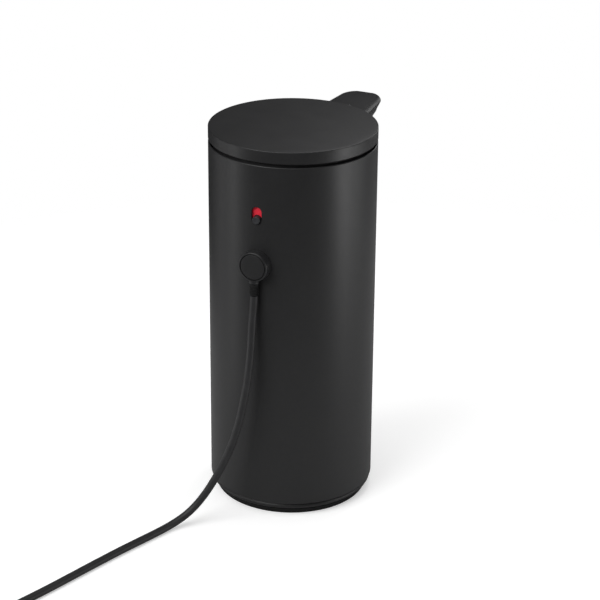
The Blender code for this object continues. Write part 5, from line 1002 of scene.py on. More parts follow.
class Workshop:
    """The finishes, the node recipes and the bookkeeping that every sub-assembly shares."""

    def __init__(self) -> None:
        """Make the finishes and the recipes."""
        self.finishes = Finishes()
        self.turning = turning_recipe()
        self.row = row_recipe()
        self.circle = circle_recipe()
        self.placed = 0

    def turned(
        self, name: str, profile: Profile, sides: int = ROUND_SIDES, closed: bool = True,
        axis: Place = (0.0, 0.0),
    ) -> bpy.types.Object:
        """Turn a profile round an upright axis.

        Args:
            name: The object's name.
            profile: Radii and heights.
            sides: The sides of the round.
            closed: Whether the profile's last point joins its first.
            axis: The axis's x and y.

        Returns:
            The object.
        """
        points = [*profile, *(profile[:1] if closed else ())]
        mesh = bpy.data.meshes.new(name)
        edges = [(index, index + 1) for index in range(len(points) - 1)]
        mesh.from_pydata([(radius, 0, height) for radius, height in points], edges, [])
        item = link(bpy.data.objects.new(name, mesh))
        self.turning.bake(item, {"Sides": sides, "Points": len(points)})
        item.data.transform(Matrix.Translation((*axis, 0)))
        clean(item.data, slivers=True)
        return item

    def turned_back(
        self, name: str, profile: Profile, height: float, sides: int = ROUND_SIDES,
    ) -> bpy.types.Object:
        """Turn a profile of radii and depths round an axis that points to the back.

        Args:
            name: The object's name.
            profile: Radii and distances along +Y.
            height: The axis's height.
            sides: The sides of the round.

        Returns:
            The object.
        """
        item = self.turned(name, profile, sides)
        item.data.transform(Matrix.Translation((0, 0, height)) @ Matrix.Rotation(-pi / 2, 4, "X"))
        return item

    def rod(
        self, name: str, radius: float, start: Point, end: Point, sides: int = SMALL_SIDES,
        edge: float = 0.0,
    ) -> bpy.types.Object:
        """Return a round rod between two points.

        Args:
            name: The object's name.
            radius: The rod's radius.
            start: One end.
            end: The other end.
            sides: The sides of the round.
            edge: The width of the rounded rims.

        Returns:
            The object.
        """
        way = Vector(end) - Vector(start)
        length = way.length
        profile = [(radius, 0), (radius, length)]
        if edge:
            profile = arc((radius - edge, edge), edge, -90, 0, 4)
            profile += arc((radius - edge, length - edge), edge, 0, 90, 4)
        item = self.turned(name, [(0, 0), *profile, (0, length)], sides)
        spin = way.to_track_quat("Z", "Y").to_matrix().to_4x4()
        item.data.transform(Matrix.Translation(start) @ spin)
        return item

    def place(
        self, item: bpy.types.Object, body: Body, slot: str, replaces: Sequence[str] = (),
        angle: float = SHARP_ANGLE, outward: bool = True,
    ) -> bpy.types.Object:
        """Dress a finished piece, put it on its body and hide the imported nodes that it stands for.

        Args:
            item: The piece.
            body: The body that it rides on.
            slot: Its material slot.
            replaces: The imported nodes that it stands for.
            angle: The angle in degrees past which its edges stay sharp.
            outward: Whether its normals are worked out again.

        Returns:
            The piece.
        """
        if item.type == "MESH":
            clean(item.data, outward)
            item.data.shade_smooth()
            item.data.set_sharp_from_angle(angle=radians(angle))
        item.data.materials.clear()
        item.data.materials.append(self.finishes[slot])
        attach(item, body.value)
        if replaces:
            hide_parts(*replaces)
        self.placed += 1
        LOG.info("%s rides on %s", item.name, body.value)
        return item

    def smooth_copy(self, node: str, body: Body, slot: str) -> None:
        """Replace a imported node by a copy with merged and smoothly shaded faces.

        Args:
            node: The node.
            body: Its body.
            slot: Its material slot.
        """
        source = frame["nodes"][node]
        item = link(bpy.data.objects.new(node + "_smooth", source.data.copy()))
        self.place(item, body, slot, [node], angle=28.0, outward=False)


# Sub-assemblies

@dataclass
class Spout:
    """The hollow spout with its flange, its ears, its nozzle tip and its sensor window."""

    reach: float = 84.0 * MM
    top: float = 166.3 * MM
    width: float = 20.4 * MM
    width_reach: float = 76.0 * MM
    flare: float = 0.08
    tip_depth: float = 7.0 * MM
    depth_gain: float = 15.0 * MM
    curve_length: float = 46.0 * MM
    curve_power: float = 1.8
    belly: float = 0.8
    nose_length: float = 9.0 * MM
    nose_power: float = 2.6
    nose_end: float = 0.9995
    edge: float = 1.7 * MM
    wall: float = 1.2 * MM
    stations: int = 26
    nose_stations: int = 18
    corner_steps: int = 6
    root: float = 34.3 * MM
    root_overrun: float = 1.0 * MM
    core_low: float = 130.0 * MM
    core_high: float = 180.0 * MM
    deck_height: float = 159.6 * MM
    deck_radius: float = 36.7 * MM
    flange_outer: float = 36.4 * MM
    flange_inner: float = 34.4 * MM
    flange_margin: float = 3.5 * MM
    flange_steps: int = 24
    nozzle_reach: float = 76.0 * MM
    nozzle_drop: float = 15.0 * MM
    tip_radius: float = 2.6 * MM
    tip_hang: float = 1.1 * MM
    tip_back: float = 3.3 * MM
    tip_lip: float = 0.45 * MM
    tip_groove: Profile = ((0, 0.8), (0.15, 1.0), (0.15, 1.2), (0, 1.4))
    bore: float = 0.9 * MM
    bore_flare: float = 0.35 * MM
    bore_rise: Place = (0.1 * MM, 0.5 * MM)
    hinge: Place = (-40.8 * MM, 171.2 * MM)
    knuckle_radius: float = 2.4 * MM
    knuckle_half: float = 5.0 * MM
    knuckle_edge: float = 0.25 * MM
    ear_width: float = 4.0 * MM
    pin_radius: float = 1.0 * MM
    window_reach: float = 57.8 * MM
    window_half: Place = (5.5 * MM, 3.25 * MM)
    window_drop: float = 30.0 * MM
    window_depth: float = 1.5 * MM

    def half_width(self, reach: float, inset: float = 0.0) -> float:
        """Return the half-width along the top at a distance from the axis.

        Args:
            reach: The distance from the axis.
            inset: How far the spout is drawn in.

        Returns:
            The half-width.
        """
        start = self.reach - self.nose_length
        half = self.width / 2 + self.flare * (self.width_reach - reach) - inset
        if reach <= start:
            return half
        share = (reach - start) / (self.nose_length - inset)
        return half * sqrt(max(0.0, 1 - share ** self.nose_power))

    def depth(self, reach: float) -> float:
        """Return how far the underside lies below the top at a distance from the axis."""
        share = max(0.0, self.reach - reach) / self.curve_length
        return self.tip_depth + self.depth_gain * share ** self.curve_power

    def section(self, reach: float, inset: float = 0.0) -> list[Point]:
        """Return the ring of points round the spout at a distance from the axis.

        Args:
            reach: The distance from the axis.
            inset: How far the ring is drawn in.

        Returns:
            The ring.
        """
        top_half = self.half_width(reach, inset)
        low_half = top_half * self.belly
        edge = max(self.edge - inset, self.edge / 3)
        nose = max(0.0, reach - (self.reach - inset - edge))
        drop = edge - sqrt(max(0.0, edge ** 2 - nose ** 2))
        top = self.top - inset - drop
        bottom = self.top - self.depth(reach) + inset + drop
        corner = min(edge, top_half / 2, (top - bottom) / 3)
        centres = [
            (top_half - corner, top - corner), (corner - top_half, top - corner),
            (corner - low_half, bottom + corner), (low_half - corner, bottom + corner),
        ]
        return [(x, -reach, z) for x, z in quarters(centres, corner, self.corner_steps)]

    def solid(
        self, name: str, start: float, inset: float = 0.0, end: float | None = None
    ) -> bpy.types.Object:
        """Loft the spout's form up to its nose or to an end.

        Args:
            name: The object's name.
            start: The distance from the axis where it starts.
            inset: How far it is drawn in all round.
            end: Where it ends, or none for the nose.

        Returns:
            The object.
        """
        nose = self.reach - self.nose_length
        last = nose if end is None else end
        places = [start + (last - start) * step / self.stations for step in range(self.stations + 1)]
        if end is None:
            for step in range(1, self.nose_stations + 1):
                share = min(sin(step / self.nose_stations * pi / 2), self.nose_end)
                places.append(nose + (self.nose_length - inset) * share)
        return loft(name, [self.section(place, inset) for place in places])

    def window(self, name: str, margin: float, high: float) -> bpy.types.Object:
        """Return an upright prism of the sensor window's outline.

        Args:
            name: The object's name.
            margin: How much wider it is all round.
            high: The height of its top.

        Returns:
            The prism.
        """
        half_x, half_y = self.window_half
        outline = rounded_outline(
            half_x + margin, half_y + margin, half_y * 2 / 3, (0, -self.window_reach)
        )
        return prism(name, outline, self.top - self.window_drop, high)

    def build(self, shop: Workshop) -> None:
        """Build and dress the spout.

        Args:
            shop: The workshop.
        """
        self._shell(shop)
        self._tip(shop)
        window = self.window("window_lens", 0.0, self.top - self.tip_depth)
        boolean(window, "INTERSECT", self.solid("skin", BODY_RADIUS))
        boolean(window, "DIFFERENCE", self.solid("above", BODY_RADIUS, self.window_depth))
        shop.place(window, Body.HOUSING, "sensor_glass", ["sensor_window"], 30.0)
        shop.smooth_copy("sensor_board", Body.HOUSING, "board_green")

    def _shell(self, shop: Workshop) -> None:
        """Build the shell with its flange, ears and openings.

        Args:
            shop: The workshop.
        """
        shell = self.solid("spout_skin", self.root - self.root_overrun)
        core = shop.rod("core", self.root, (0, 0, self.core_low), (0, 0, self.core_high), FINE_SIDES)
        boolean(shell, "DIFFERENCE", core)
        boolean(shell, "UNION", self._flange(), *self._ears(shop))
        y, z = self.hinge
        reach = self.knuckle_half + self.ear_width + OVERRUN
        nozzle = -self.nozzle_reach
        radius, floor, roof = self.deck_radius, self.deck_height, self.core_high
        cutters = [
            self.solid("hollow", self.root - 2 * self.root_overrun, self.wall),
            shop.turned(
                "deck_room", [(0, floor), (radius, floor), (radius, roof), (0, roof)], FINE_SIDES,
                closed=False,
            ),
            shop.rod("bore", self.pin_radius + SEAT_GAP, (-reach, y, z), (reach, y, z)),
            shop.rod(
                "outlet", self.tip_radius + SEAT_GAP, (0, nozzle, self.top - self.nozzle_drop),
                (0, nozzle, self.top - self.tip_depth / 2),
            ),
            self.window("window_hole", SEAT_GAP, self.top - self.tip_depth),
        ]
        boolean(shell, "DIFFERENCE", *cutters)
        shop.place(shell, Body.HOUSING, "body_black", ["spout_shell"], 34.0)

    def _flange(self) -> bpy.types.Object:
        """Build the flange, which follows the sleeve from inside.

        Returns:
            The flange.
        """
        half = asin((self.half_width(BODY_RADIUS) + self.flange_margin) / self.root)
        middle = -pi / 2
        angles = [middle + half * (2 * step / self.flange_steps - 1) for step in range(self.flange_steps + 1)]
        outline = [(self.flange_outer * cos(a), self.flange_outer * sin(a)) for a in angles]
        outline += [(self.flange_inner * cos(a), self.flange_inner * sin(a)) for a in reversed(angles)]
        bottom = self.top - self.depth(BODY_RADIUS) - self.flange_margin
        return prism("flange", outline, bottom, self.deck_height)

    def _ears(self, shop: Workshop) -> list[bpy.types.Object]:
        """Build the two ears that hold the hinge's pin, each with its leg.

        Args:
            shop: The workshop.

        Returns:
            The ears and the legs.
        """
        y, z = self.hinge
        near = self.knuckle_half + SEAT_GAP
        far = near + self.ear_width
        radius, edge = self.knuckle_radius, self.knuckle_edge
        ears = []
        for low, high in ((-far, -near), (near, far)):
            ears.append(shop.rod("ear", radius, (low, y, z), (high, y, z), edge=edge))
            ears.append(soft_box(
                "leg", (low, y - radius, self.top - self.wall / 2), (high, y + radius, z), edge,
            ))
        return ears

    def _tip(self, shop: Workshop) -> None:
        """Build the silicone nozzle tip with its rounded lip and drip edge.

        Args:
            shop: The workshop.
        """
        outer = self.top - self.depth(self.nozzle_reach)
        low = outer - self.tip_hang
        high = self.top - self.depth(self.nozzle_reach - self.tip_back) + self.wall
        radius, lip = self.tip_radius, self.tip_lip
        bore, flared = self.bore, self.bore + self.bore_flare
        rim, throat = self.bore_rise
        profile = [(bore, high), (bore, low + throat), (flared, low + rim)]
        profile += arc((radius - lip, low + lip), lip, -90, 0, 6)
        profile += [(radius - inset, low + rise) for inset, rise in millimetres(*self.tip_groove)]
        profile.append((radius, high))
        tip = shop.turned("tip_skin", profile, SMALL_SIDES, axis=(0, -self.nozzle_reach))
        shop.place(tip, Body.HOUSING, "silicone", ["nozzle_tip"])


@dataclass
class Housing:
    """The sleeve, the base band, the foot and what shows of the core inside."""

    radius: float = BODY_RADIUS
    wall: float = 0.8 * MM
    bottom: float = 6.0 * MM
    top: float = 168.4 * MM
    lip: float = 0.45 * MM
    lip_land: float = 0.5 * MM
    lip_fall: float = 1.1 * MM
    hem: float = 0.25 * MM
    slot_half_width: float = 2.35 * MM
    slot_half_length: float = 3.9 * MM
    slot_break: float = 0.18 * MM
    slot_steps: int = 24
    port_radius: float = 6.0 * MM
    root_start: float = 33.0 * MM
    foot_height: float = 3.0 * MM
    foot_radius: float = 34.8 * MM
    foot_taper: float = 1.3 * MM
    foot_edge: float = 0.5 * MM
    foot_break: float = 0.2 * MM
    sole_width: float = 1.6 * MM
    sole_recess: float = 0.5 * MM
    stud_profile: Profile = ((0, 0.05), (0.6, 0.05), (0.9, 0.35), (1.0, 0.9), (0, 0.9))
    stud_rings: tuple[tuple[int, float], ...] = (
        (60, 31.5 * MM), (48, 26.5 * MM), (38, 21.5 * MM), (28, 16.5 * MM), (18, 11.5 * MM),
    )
    copies: tuple[tuple[str, str], ...] = (
        ("base_plate", "base_plastic"), ("top_deck", "core_plastic"), ("soap_tank", "tank_plastic"),
        ("inlet_grommet", "soft_rubber"), ("port_housing", "core_plastic"),
        ("port_contacts", "contact_brass"), ("port_keeper", "steel"), ("switch_guide", "core_plastic"),
        ("nozzle_elbow", "core_plastic"), ("hinge_pin", "body_black"), ("delivery_tube", "silicone"),
        ("tank_gasket", "soft_rubber"),
    )

    def build(self, shop: Workshop, spout: Spout) -> None:
        """Build and dress the housing.

        Args:
            shop: The workshop.
            spout: The spout, whose root goes through the sleeve.
        """
        self._sleeve(shop, spout)
        self._foot(shop)
        for node, slot in self.copies:
            shop.smooth_copy(node, Body.HOUSING, slot)

    def _sleeve(self, shop: Workshop, spout: Spout) -> None:
        """Build the sleeve with its slot, port hole and spout opening.

        Args:
            shop: The workshop.
            spout: The spout, whose root goes through the sleeve.
        """
        radius, inner, top, lip = self.radius, self.radius - self.wall, self.top, self.lip
        profile = [(inner, self.bottom), (radius - self.hem, self.bottom), (radius, self.bottom + self.hem)]
        profile += arc((radius - lip, top - lip), lip, 0, 90, 10)
        profile += [(radius - lip, top - self.lip_land), (inner, top - self.lip_fall)]
        sleeve = shop.turned("sleeve_skin", profile, FINE_SIDES)
        cutters = [
            self._slot_cutter("slot", 0.0, CUT_NEAR),
            self._slot_cutter("slot_rim", self.slot_break, radius - self.slot_break),
            shop.rod("port_hole", self.port_radius, (0, CUT_NEAR, PORT_HEIGHT), (0, CUT_FAR, PORT_HEIGHT)),
            spout.solid("root_hole", self.root_start, -SEAT_GAP, radius + OVERRUN),
        ]
        boolean(sleeve, "DIFFERENCE", *cutters)
        shop.place(sleeve, Body.HOUSING, "body_black", ["body_sleeve"])

    def _slot_cutter(self, name: str, wider: float, near: float) -> bpy.types.Object:
        """Return a cutter of the slot's outline, which has round ends.

        Args:
            name: The object's name.
            wider: How much wider than the slot it is all round.
            near: The depth where it starts.

        Returns:
            The cutter.
        """
        half_width, half_length = self.slot_half_width + wider, self.slot_half_length + wider
        middle = half_length - half_width
        outline = arc((0, middle), half_width, 0, 180, self.slot_steps)
        outline += arc((0, -middle), half_width, 180, 360, self.slot_steps)
        cutter = prism(name, outline, 0, CUT_FAR - near)
        turn = Matrix.Rotation(pi / 2, 4, "X")
        cutter.data.transform(Matrix.Translation((0, CUT_FAR, SWITCH_HEIGHT)) @ turn)
        return cutter

    def _foot(self, shop: Workshop) -> None:
        """Build the rubber foot with its rim, its recess and the studs under it.

        Args:
            shop: The workshop.
        """
        floor, sole, small = self.foot_radius, self.foot_radius - self.sole_width, self.foot_break
        edge, outer, height = self.foot_edge, self.foot_radius + self.foot_taper, self.foot_height
        profile = [
            (0, self.sole_recess), (sole - 1.5 * small, self.sole_recess), (sole, small / 2),
            (sole + small, 0), (floor - edge, 0),
        ]
        profile += arc((floor - edge, edge), edge, -75, -10, 5)
        profile += [(outer, height - small), (outer - small, height), (0, height)]
        parts = [shop.turned("foot_skin", profile, FINE_SIDES, closed=False)]
        for count, radius in self.stud_rings:
            stud = shop.turned("stud", millimetres(*self.stud_profile), STUD_SIDES)
            parts.append(shop.circle.bake(stud, {"Count": count, "Radius": radius}))
        shop.place(join("foot_skin", parts), Body.HOUSING, "soft_rubber", ["foot_pad"])


@dataclass
class Lid:
    """The flat lid with its hinge knuckle, its liner and its seal."""

    radius: float = BODY_RADIUS
    bottom: float = 169.8 * MM
    top: float = 175.4 * MM
    ceiling: float = 173.8 * MM
    skirt: float = 36.0 * MM
    edge: float = 0.4 * MM
    hem: float = 0.3 * MM
    top_shares: tuple[float, ...] = (0.92, 0.8, 0.6, 0.4, 0.2, 0.0)
    tongue_inset: float = 0.15 * MM
    tongue_rise: float = 0.25 * MM
    tongue_drop: float = 0.5 * MM
    tongue_sink: float = 0.5 * MM
    tongue_edge: float = 0.2 * MM

    def build(self, shop: Workshop, spout: Spout) -> None:
        """Build and dress the lid.

        Args:
            shop: The workshop.
            spout: The spout, which carries the hinge.
        """
        profile = [(0, self.ceiling), (self.skirt, self.ceiling), (self.skirt, self.bottom)]
        profile += [(self.radius - self.hem, self.bottom), (self.radius, self.bottom + self.hem)]
        profile += arc((self.radius - self.edge, self.top - self.edge), self.edge, 0, 90, 8)
        profile += [(self.radius * share, self.top) for share in self.top_shares]
        lid = shop.turned("lid_skin", profile, FINE_SIDES, closed=False)
        y, z = spout.hinge
        half, knuckle = spout.knuckle_half, spout.knuckle_radius
        side = half - self.tongue_inset
        tongue = soft_box(
            "tongue", (-side, y, self.bottom + self.tongue_rise),
            (side, -self.skirt - self.tongue_sink, z + knuckle - self.tongue_drop), self.tongue_edge,
        )
        barrel = shop.rod("barrel", knuckle, (-half, y, z), (half, y, z), edge=spout.knuckle_edge)
        boolean(lid, "UNION", tongue, barrel)
        bore, reach = spout.pin_radius + SEAT_GAP, half + OVERRUN
        boolean(lid, "DIFFERENCE", shop.rod("bore", bore, (-reach, y, z), (reach, y, z)))
        shop.place(lid, Body.LID, "lid_black", ["lid_cap"])
        shop.smooth_copy("lid_liner", Body.LID, "core_plastic")
        shop.smooth_copy("lid_seal", Body.LID, "silicone")


@dataclass
class PowerSwitch:
    """The sliding knob with its plate and the red flag that the raised knob's plate hides."""

    knob_height: float = 143.5 * MM
    knob_radius: float = 1.75 * MM
    knob_front: float = 38.4 * MM
    knob_rim: float = 0.3 * MM
    knob_sink: float = 0.4 * MM
    dish: float = 0.15 * MM
    dish_shares: Profile = ((0.55, 8 / 15), (0.25, 14 / 15), (0, 1))
    plate_front: float = 36.25 * MM
    plate_back: float = 35.3 * MM
    plate_half: float = 3.3 * MM
    plate_low: float = 136.4 * MM
    plate_high: float = 150.6 * MM
    plate_edge: float = 0.15 * MM
    stem_half: Place = (0.9 * MM, 1.2 * MM)
    stem_reach: float = 1.5 * MM
    stem_sink: float = 0.5 * MM
    flag_half: float = 2.8 * MM
    flag_margin: float = 0.5 * MM
    flag_depth: float = 0.3 * MM
    flag_edge: float = 0.08 * MM

    def build(self, shop: Workshop) -> None:
        """Build and dress the switch.

        Args:
            shop: The workshop.
        """
        plate = soft_box(
            "knob_skin", (-self.plate_half, self.plate_back, self.plate_low),
            (self.plate_half, self.plate_front, self.plate_high), self.plate_edge,
        )
        half, front = self.flag_half, self.plate_front
        low, high = self.knob_height + self.flag_margin, self.plate_high - self.flag_margin
        pocket = soft_box(
            "pocket", (-half - SEAT_GAP, front - self.flag_depth - SEAT_GAP, low - SEAT_GAP),
            (half + SEAT_GAP, front + OVERRUN, high + SEAT_GAP),
        )
        boolean(plate, "DIFFERENCE", pocket)
        boolean(plate, "UNION", self._knob(shop), self._stem())
        shop.place(plate, Body.SWITCH, "knob_grey", ["switch_knob"])
        flag = soft_box(
            "flag_skin", (-half, front - self.flag_depth, low), (half, front, high), self.flag_edge, 2
        )
        room = shop.rod(
            "room", self.knob_radius + SEAT_GAP, (0, CUT_NEAR, self.knob_height),
            (0, CUT_FAR, self.knob_height),
        )
        boolean(flag, "DIFFERENCE", room)
        shop.place(flag, Body.SWITCH, "flag_red", ["switch_flag"])

    def _knob(self, shop: Workshop) -> bpy.types.Object:
        """Build the round knob with its rounded rim and dished end.

        Args:
            shop: The workshop.

        Returns:
            The knob.
        """
        radius, front, rim, dish = self.knob_radius, self.knob_front, self.knob_rim, self.dish
        back = self.plate_back + self.knob_sink
        profile = [(0, back), (radius, back), (radius, front - rim)]
        profile += arc((radius - rim, front - rim), rim, 0, 90, 5)
        profile += [(radius * share, front - dish * depth) for share, depth in self.dish_shares]
        return shop.turned_back("knob", profile, self.knob_height, SMALL_SIDES)

    def _stem(self) -> bpy.types.Object:
        """Build the stem that reaches in to the slide switch.

        Returns:
            The stem.
        """
        half_x, half_z = self.stem_half
        return soft_box(
            "stem", (-half_x, self.plate_back - self.stem_reach, self.knob_height - half_z),
            (half_x, self.plate_back + self.stem_sink, self.knob_height + half_z),
        )


@dataclass
class Puck:
    """The magnetic puck with its face, its rear contacts and the short strain relief."""

    height: float = PORT_HEIGHT
    radius: float = 6.8 * MM
    front: float = 41.7 * MM
    edge: float = 0.55 * MM
    face_radius: float = 5.7 * MM
    face_depth: float = 0.7 * MM
    face_rim: float = 0.15 * MM
    face_flat: float = 0.6
    rear: float = 37.8 * MM
    rear_span: float = 20.0 * MM
    keeper: Place = (3.4 * MM, 4.7 * MM)
    keeper_depth: float = 2.4 * MM
    pin_room: Point = (2.45 * MM, 40.0 * MM, 0.85 * MM)
    relief_y: float = 39.95 * MM
    relief_low: float = 109.5 * MM
    relief_high: float = 114.9 * MM
    relief_radii: Place = (1.85 * MM, 2.0 * MM)
    relief_rim: Place = (0.15 * MM, 0.2 * MM)
    collar_low: Place = (0.7 * MM, 0.8 * MM)
    collar_high: Place = (0.9 * MM, 0.7 * MM)
    neck_radius: float = 2.15 * MM
    neck_sink: float = 0.5 * MM
    relief_rings: int = 5
    ring_margins: Place = (0.85 * MM, 1.05 * MM)
    ring_sink: float = 0.5 * MM
    ring_rise: float = 0.1 * MM
    ring_half: float = 0.3
    groove: float = 0.22 * MM

    def build(self, shop: Workshop) -> None:
        """Build and dress the puck.

        Args:
            shop: The workshop.
        """
        floor = self.front - self.face_depth - SEAT_GAP
        pocket = self.face_radius + SEAT_GAP
        profile = [(0, CUT_NEAR), (self.radius, CUT_NEAR)]
        profile += arc((self.radius - self.edge, self.front - self.edge), self.edge, 0, 90, 6)
        profile += [(pocket, self.front), (pocket, floor), (0, floor)]
        shell = shop.turned_back("puck_skin", profile, self.height)
        neck = shop.rod(
            "neck", self.neck_radius, (0, self.relief_y, self.relief_high + SEAT_GAP),
            (0, self.relief_y, self.height - self.radius + self.neck_sink),
        )
        boolean(shell, "UNION", neck)
        boolean(shell, "DIFFERENCE", *self._rooms(shop))
        shop.place(shell, Body.CABLE, "puck_black", ["puck_housing"])
        radius, rim, low = self.face_radius, self.face_rim, self.front - self.face_depth
        profile = [(0, low), (radius, low), (radius, self.front - rim)]
        profile += arc((radius - rim, self.front - rim), rim, 0, 90, 3)
        profile += [(radius * self.face_flat, self.front), (0, self.front)]
        face = shop.turned_back("puck_disc", profile, self.height)
        shop.place(face, Body.CABLE, "puck_face_black", ["puck_face"])
        shop.smooth_copy("puck_magnet", Body.CABLE, "steel")
        shop.smooth_copy("puck_pins", Body.CABLE, "contact_brass")

    def _rooms(self, shop: Workshop) -> list[bpy.types.Object]:
        """Build the cutters of the rear face, the magnet's ring and the pins' room.

        Args:
            shop: The workshop.

        Returns:
            The cutters.
        """
        inner, outer = self.keeper[0] - SEAT_GAP, self.keeper[1] + SEAT_GAP
        back = self.rear + self.keeper_depth
        half_x, room_back, half_z = self.pin_room
        low, high = self.height - self.rear_span, self.height + self.rear_span
        return [
            shop.rod("body", self.rear, (0, 0, low), (0, 0, high), FINE_SIDES),
            shop.turned_back(
                "pocket", [(inner, CUT_NEAR), (outer, CUT_NEAR), (outer, back), (inner, back)], self.height,
            ),
            soft_box(
                "room", (-half_x, CUT_NEAR, self.height - half_z), (half_x, room_back, self.height + half_z)
            ),
        ]

    def relief(self, shop: Workshop) -> bpy.types.Object:
        """Build the strain relief with its row of ribs.

        Args:
            shop: The workshop.

        Returns:
            The strain relief.
        """
        thin, thick = self.relief_radii
        low, high, groove = self.relief_low, self.relief_high, self.groove
        rim_in, rim_up = self.relief_rim
        collar_end, groove_start = self.collar_low
        groove_end, collar_start = self.collar_high
        profile = [
            (0, low), (thin - rim_in, low), (thin, low + rim_up), (thin, low + collar_end),
            (thin - groove, low + groove_start), (thick - groove, high - groove_end),
            (thick, high - collar_start), (thick, high), (0, high),
        ]
        core = shop.turned("relief_skin", profile, SMALL_SIDES, axis=(0, self.relief_y))
        middle = (thin + thick) / 2
        ring_low, ring_high = low + self.ring_margins[0], high - self.ring_margins[1]
        pitch = (ring_high - ring_low) / self.relief_rings
        half = pitch * self.ring_half
        crown = arc((middle - self.ring_rise, 0), half, -80, 80, 6)
        root = middle - self.ring_sink
        ring = shop.turned("ring", [(root, -half), *crown, (root, half)], SMALL_SIDES)
        shop.row.bake(ring, {
            "Count": self.relief_rings, "Start": (0.0, self.relief_y, ring_low + pitch / 2),
            "Pitch": (0.0, 0.0, pitch),
        })
        relief = join("relief_skin", [core, ring])
        return shop.place(relief, Body.CABLE, "soft_rubber", ["cable_relief"])


@dataclass
class Cord:
    """The free cord, the coil that holds its spare length, and the coil's tie."""

    length: float = 0.932
    diameter: float = 3.45 * MM
    floor_height: float = 1.775 * MM
    exit_y: float = 39.95 * MM
    exit_z: float = 109.2 * MM
    step: float = 2.3
    fine_steps: int = 20
    turns: float = 5.25
    middle_radius: float = 20.0 * MM
    pitch: float = 4.1 * MM
    lead: float = 6.0 * MM
    heading: float = radians(72)
    climb_turns: float = 0.5
    loop_points: int = 24
    plug_run: float = 30.0 * MM
    plug_steps: int = 6
    plug_height: float = 4.05 * MM
    coil_start: Place = (65.0 * MM, 180.0 * MM)
    tie_bearing: float = radians(150)
    tie_reach: float = radians(12)
    tie_half: float = 4.0 * MM
    tie_floor: float = 0.05 * MM
    tie_layers: tuple[Place, ...] = ((0.12 * MM, 0.04 * MM), (0.75 * MM, 0.02 * MM))
    route: tuple[Point, ...] = (
        (0.2, 40.4, 104.0), (0.3, 41.0, 97.5), (0.4, 41.5, 93.2), (0.3, 42.3, 86.4), (0.5, 43.3, 79.5),
        (0.8, 44.3, 72.5), (1.4, 45.5, 65.5), (3.3, 47.9, 51.4), (6.1, 50.3, 39.3), (10.8, 53.1, 27.0),
        (14.7, 55.4, 18.6), (17.1, 56.7, 14.3), (19.8, 58.5, 9.9), (22.6, 60.8, 6.3), (25.4, 64.0, 3.6),
        (28.1, 67.6, 2.2), (30.6, 74.5, 1.8), (34.5, 85.7, 1.78), (38.3, 96.7, 1.78), (41.8, 107.9, 1.78),
        (45.2, 119.1, 1.78), (48.5, 130.2, 1.78), (51.9, 141.2, 1.78), (55.6, 152.0, 1.78),
        (59.4, 163.0, 1.78),
    )

    @staticmethod
    def _towards(bearing: float) -> Vector:
        """Return the level direction of a bearing."""
        return Vector((cos(bearing), sin(bearing), 0))

    def free_points(self) -> list[Vector]:
        """Find the free stretch's points, from the strain relief to the coil.

        Returns:
            The points.
        """
        top = Vector((0, self.exit_y, self.exit_z))
        below = top - Vector((0, 0, self.diameter))
        heading = self._towards(self.heading)
        end = Vector((*self.coil_start, self.floor_height)) - heading * SEAT_GAP
        before = end - heading * self.diameter
        route = [top, below] + [Vector(point) * MM for point in self.route] + [before, end]
        points = self._smooth(route, self.step * self.diameter)
        points.insert(1, below)
        points.insert(-1, before)
        kept = points[:2]
        for place in points[2:-2]:
            crowded = (place - kept[-1]).length <= self.diameter / 2
            if not crowded and (place - points[-2]).length > self.diameter / 2:
                kept.append(place)
        return kept + points[-2:]

    def _smooth(self, points: Sequence[Vector], step: float) -> list[Vector]:
        """Return points at an even step along a smooth curve.

        Args:
            points: The route's own points.
            step: The step in metres.

        Returns:
            The points.
        """
        ends = [2 * points[0] - points[1]] + list(points) + [2 * points[-1] - points[-2]]
        fine = []
        for before, start, end, after in zip(ends, ends[1:], ends[2:], ends[3:]):
            for index in range(self.fine_steps):
                t = index / self.fine_steps
                fine.append((
                    2 * start + (end - before) * t + (2 * before - 5 * start + 4 * end - after) * t ** 2
                    + (3 * start - before - 3 * end + after) * t ** 3
                ) / 2)
        fine.append(points[-1])
        lengths = numpy.cumsum([0] + [(b - a).length for a, b in zip(fine, fine[1:])])
        wanted = numpy.linspace(0, lengths[-1], max(2, ceil(lengths[-1] / step)) + 1)
        axes = [numpy.interp(wanted, lengths, [point[axis] for point in fine]) for axis in range(3)]
        return [Vector(place) for place in zip(*axes)]

    def coil_points(self) -> tuple[list[Vector], Vector]:
        """Find the coiled length's points and the direction to the plug.

        Returns:
            The points and the direction.
        """
        outer = self.middle_radius + self.pitch * self.turns / 4
        first = self.heading - pi / 2
        heading = self._towards(self.heading)
        start = Vector((*self.coil_start, self.floor_height))
        centre = start + heading * self.lead - outer * self._towards(first)
        points = [start, start + heading * self.lead / 2]
        steps = round(self.turns * self.loop_points)
        for step in range(steps + 1):
            turns = self.turns * step / steps
            inward = min(turns, self.turns - turns)
            share = (turns - self.turns / 2) / self.climb_turns + 0.5
            climb = min(max(share, 0.0), 1.0) * self.pitch
            radial = self._towards(first + 2 * pi * turns) * (outer - self.pitch * inward)
            points.append(centre + radial + Vector((0, 0, climb)))
        away = self._towards(first + 2 * pi * self.turns + pi / 2)
        top = points[-1].copy()
        for step in range(1, self.plug_steps + 1):
            fall = min(step / (self.plug_steps - 1), 1.0)
            eased = fall * fall * (3 - 2 * fall)
            place = top + away * self.plug_run * step / self.plug_steps
            place.z = top.z + (self.plug_height - top.z) * eased
            points.append(place)
        return points, away

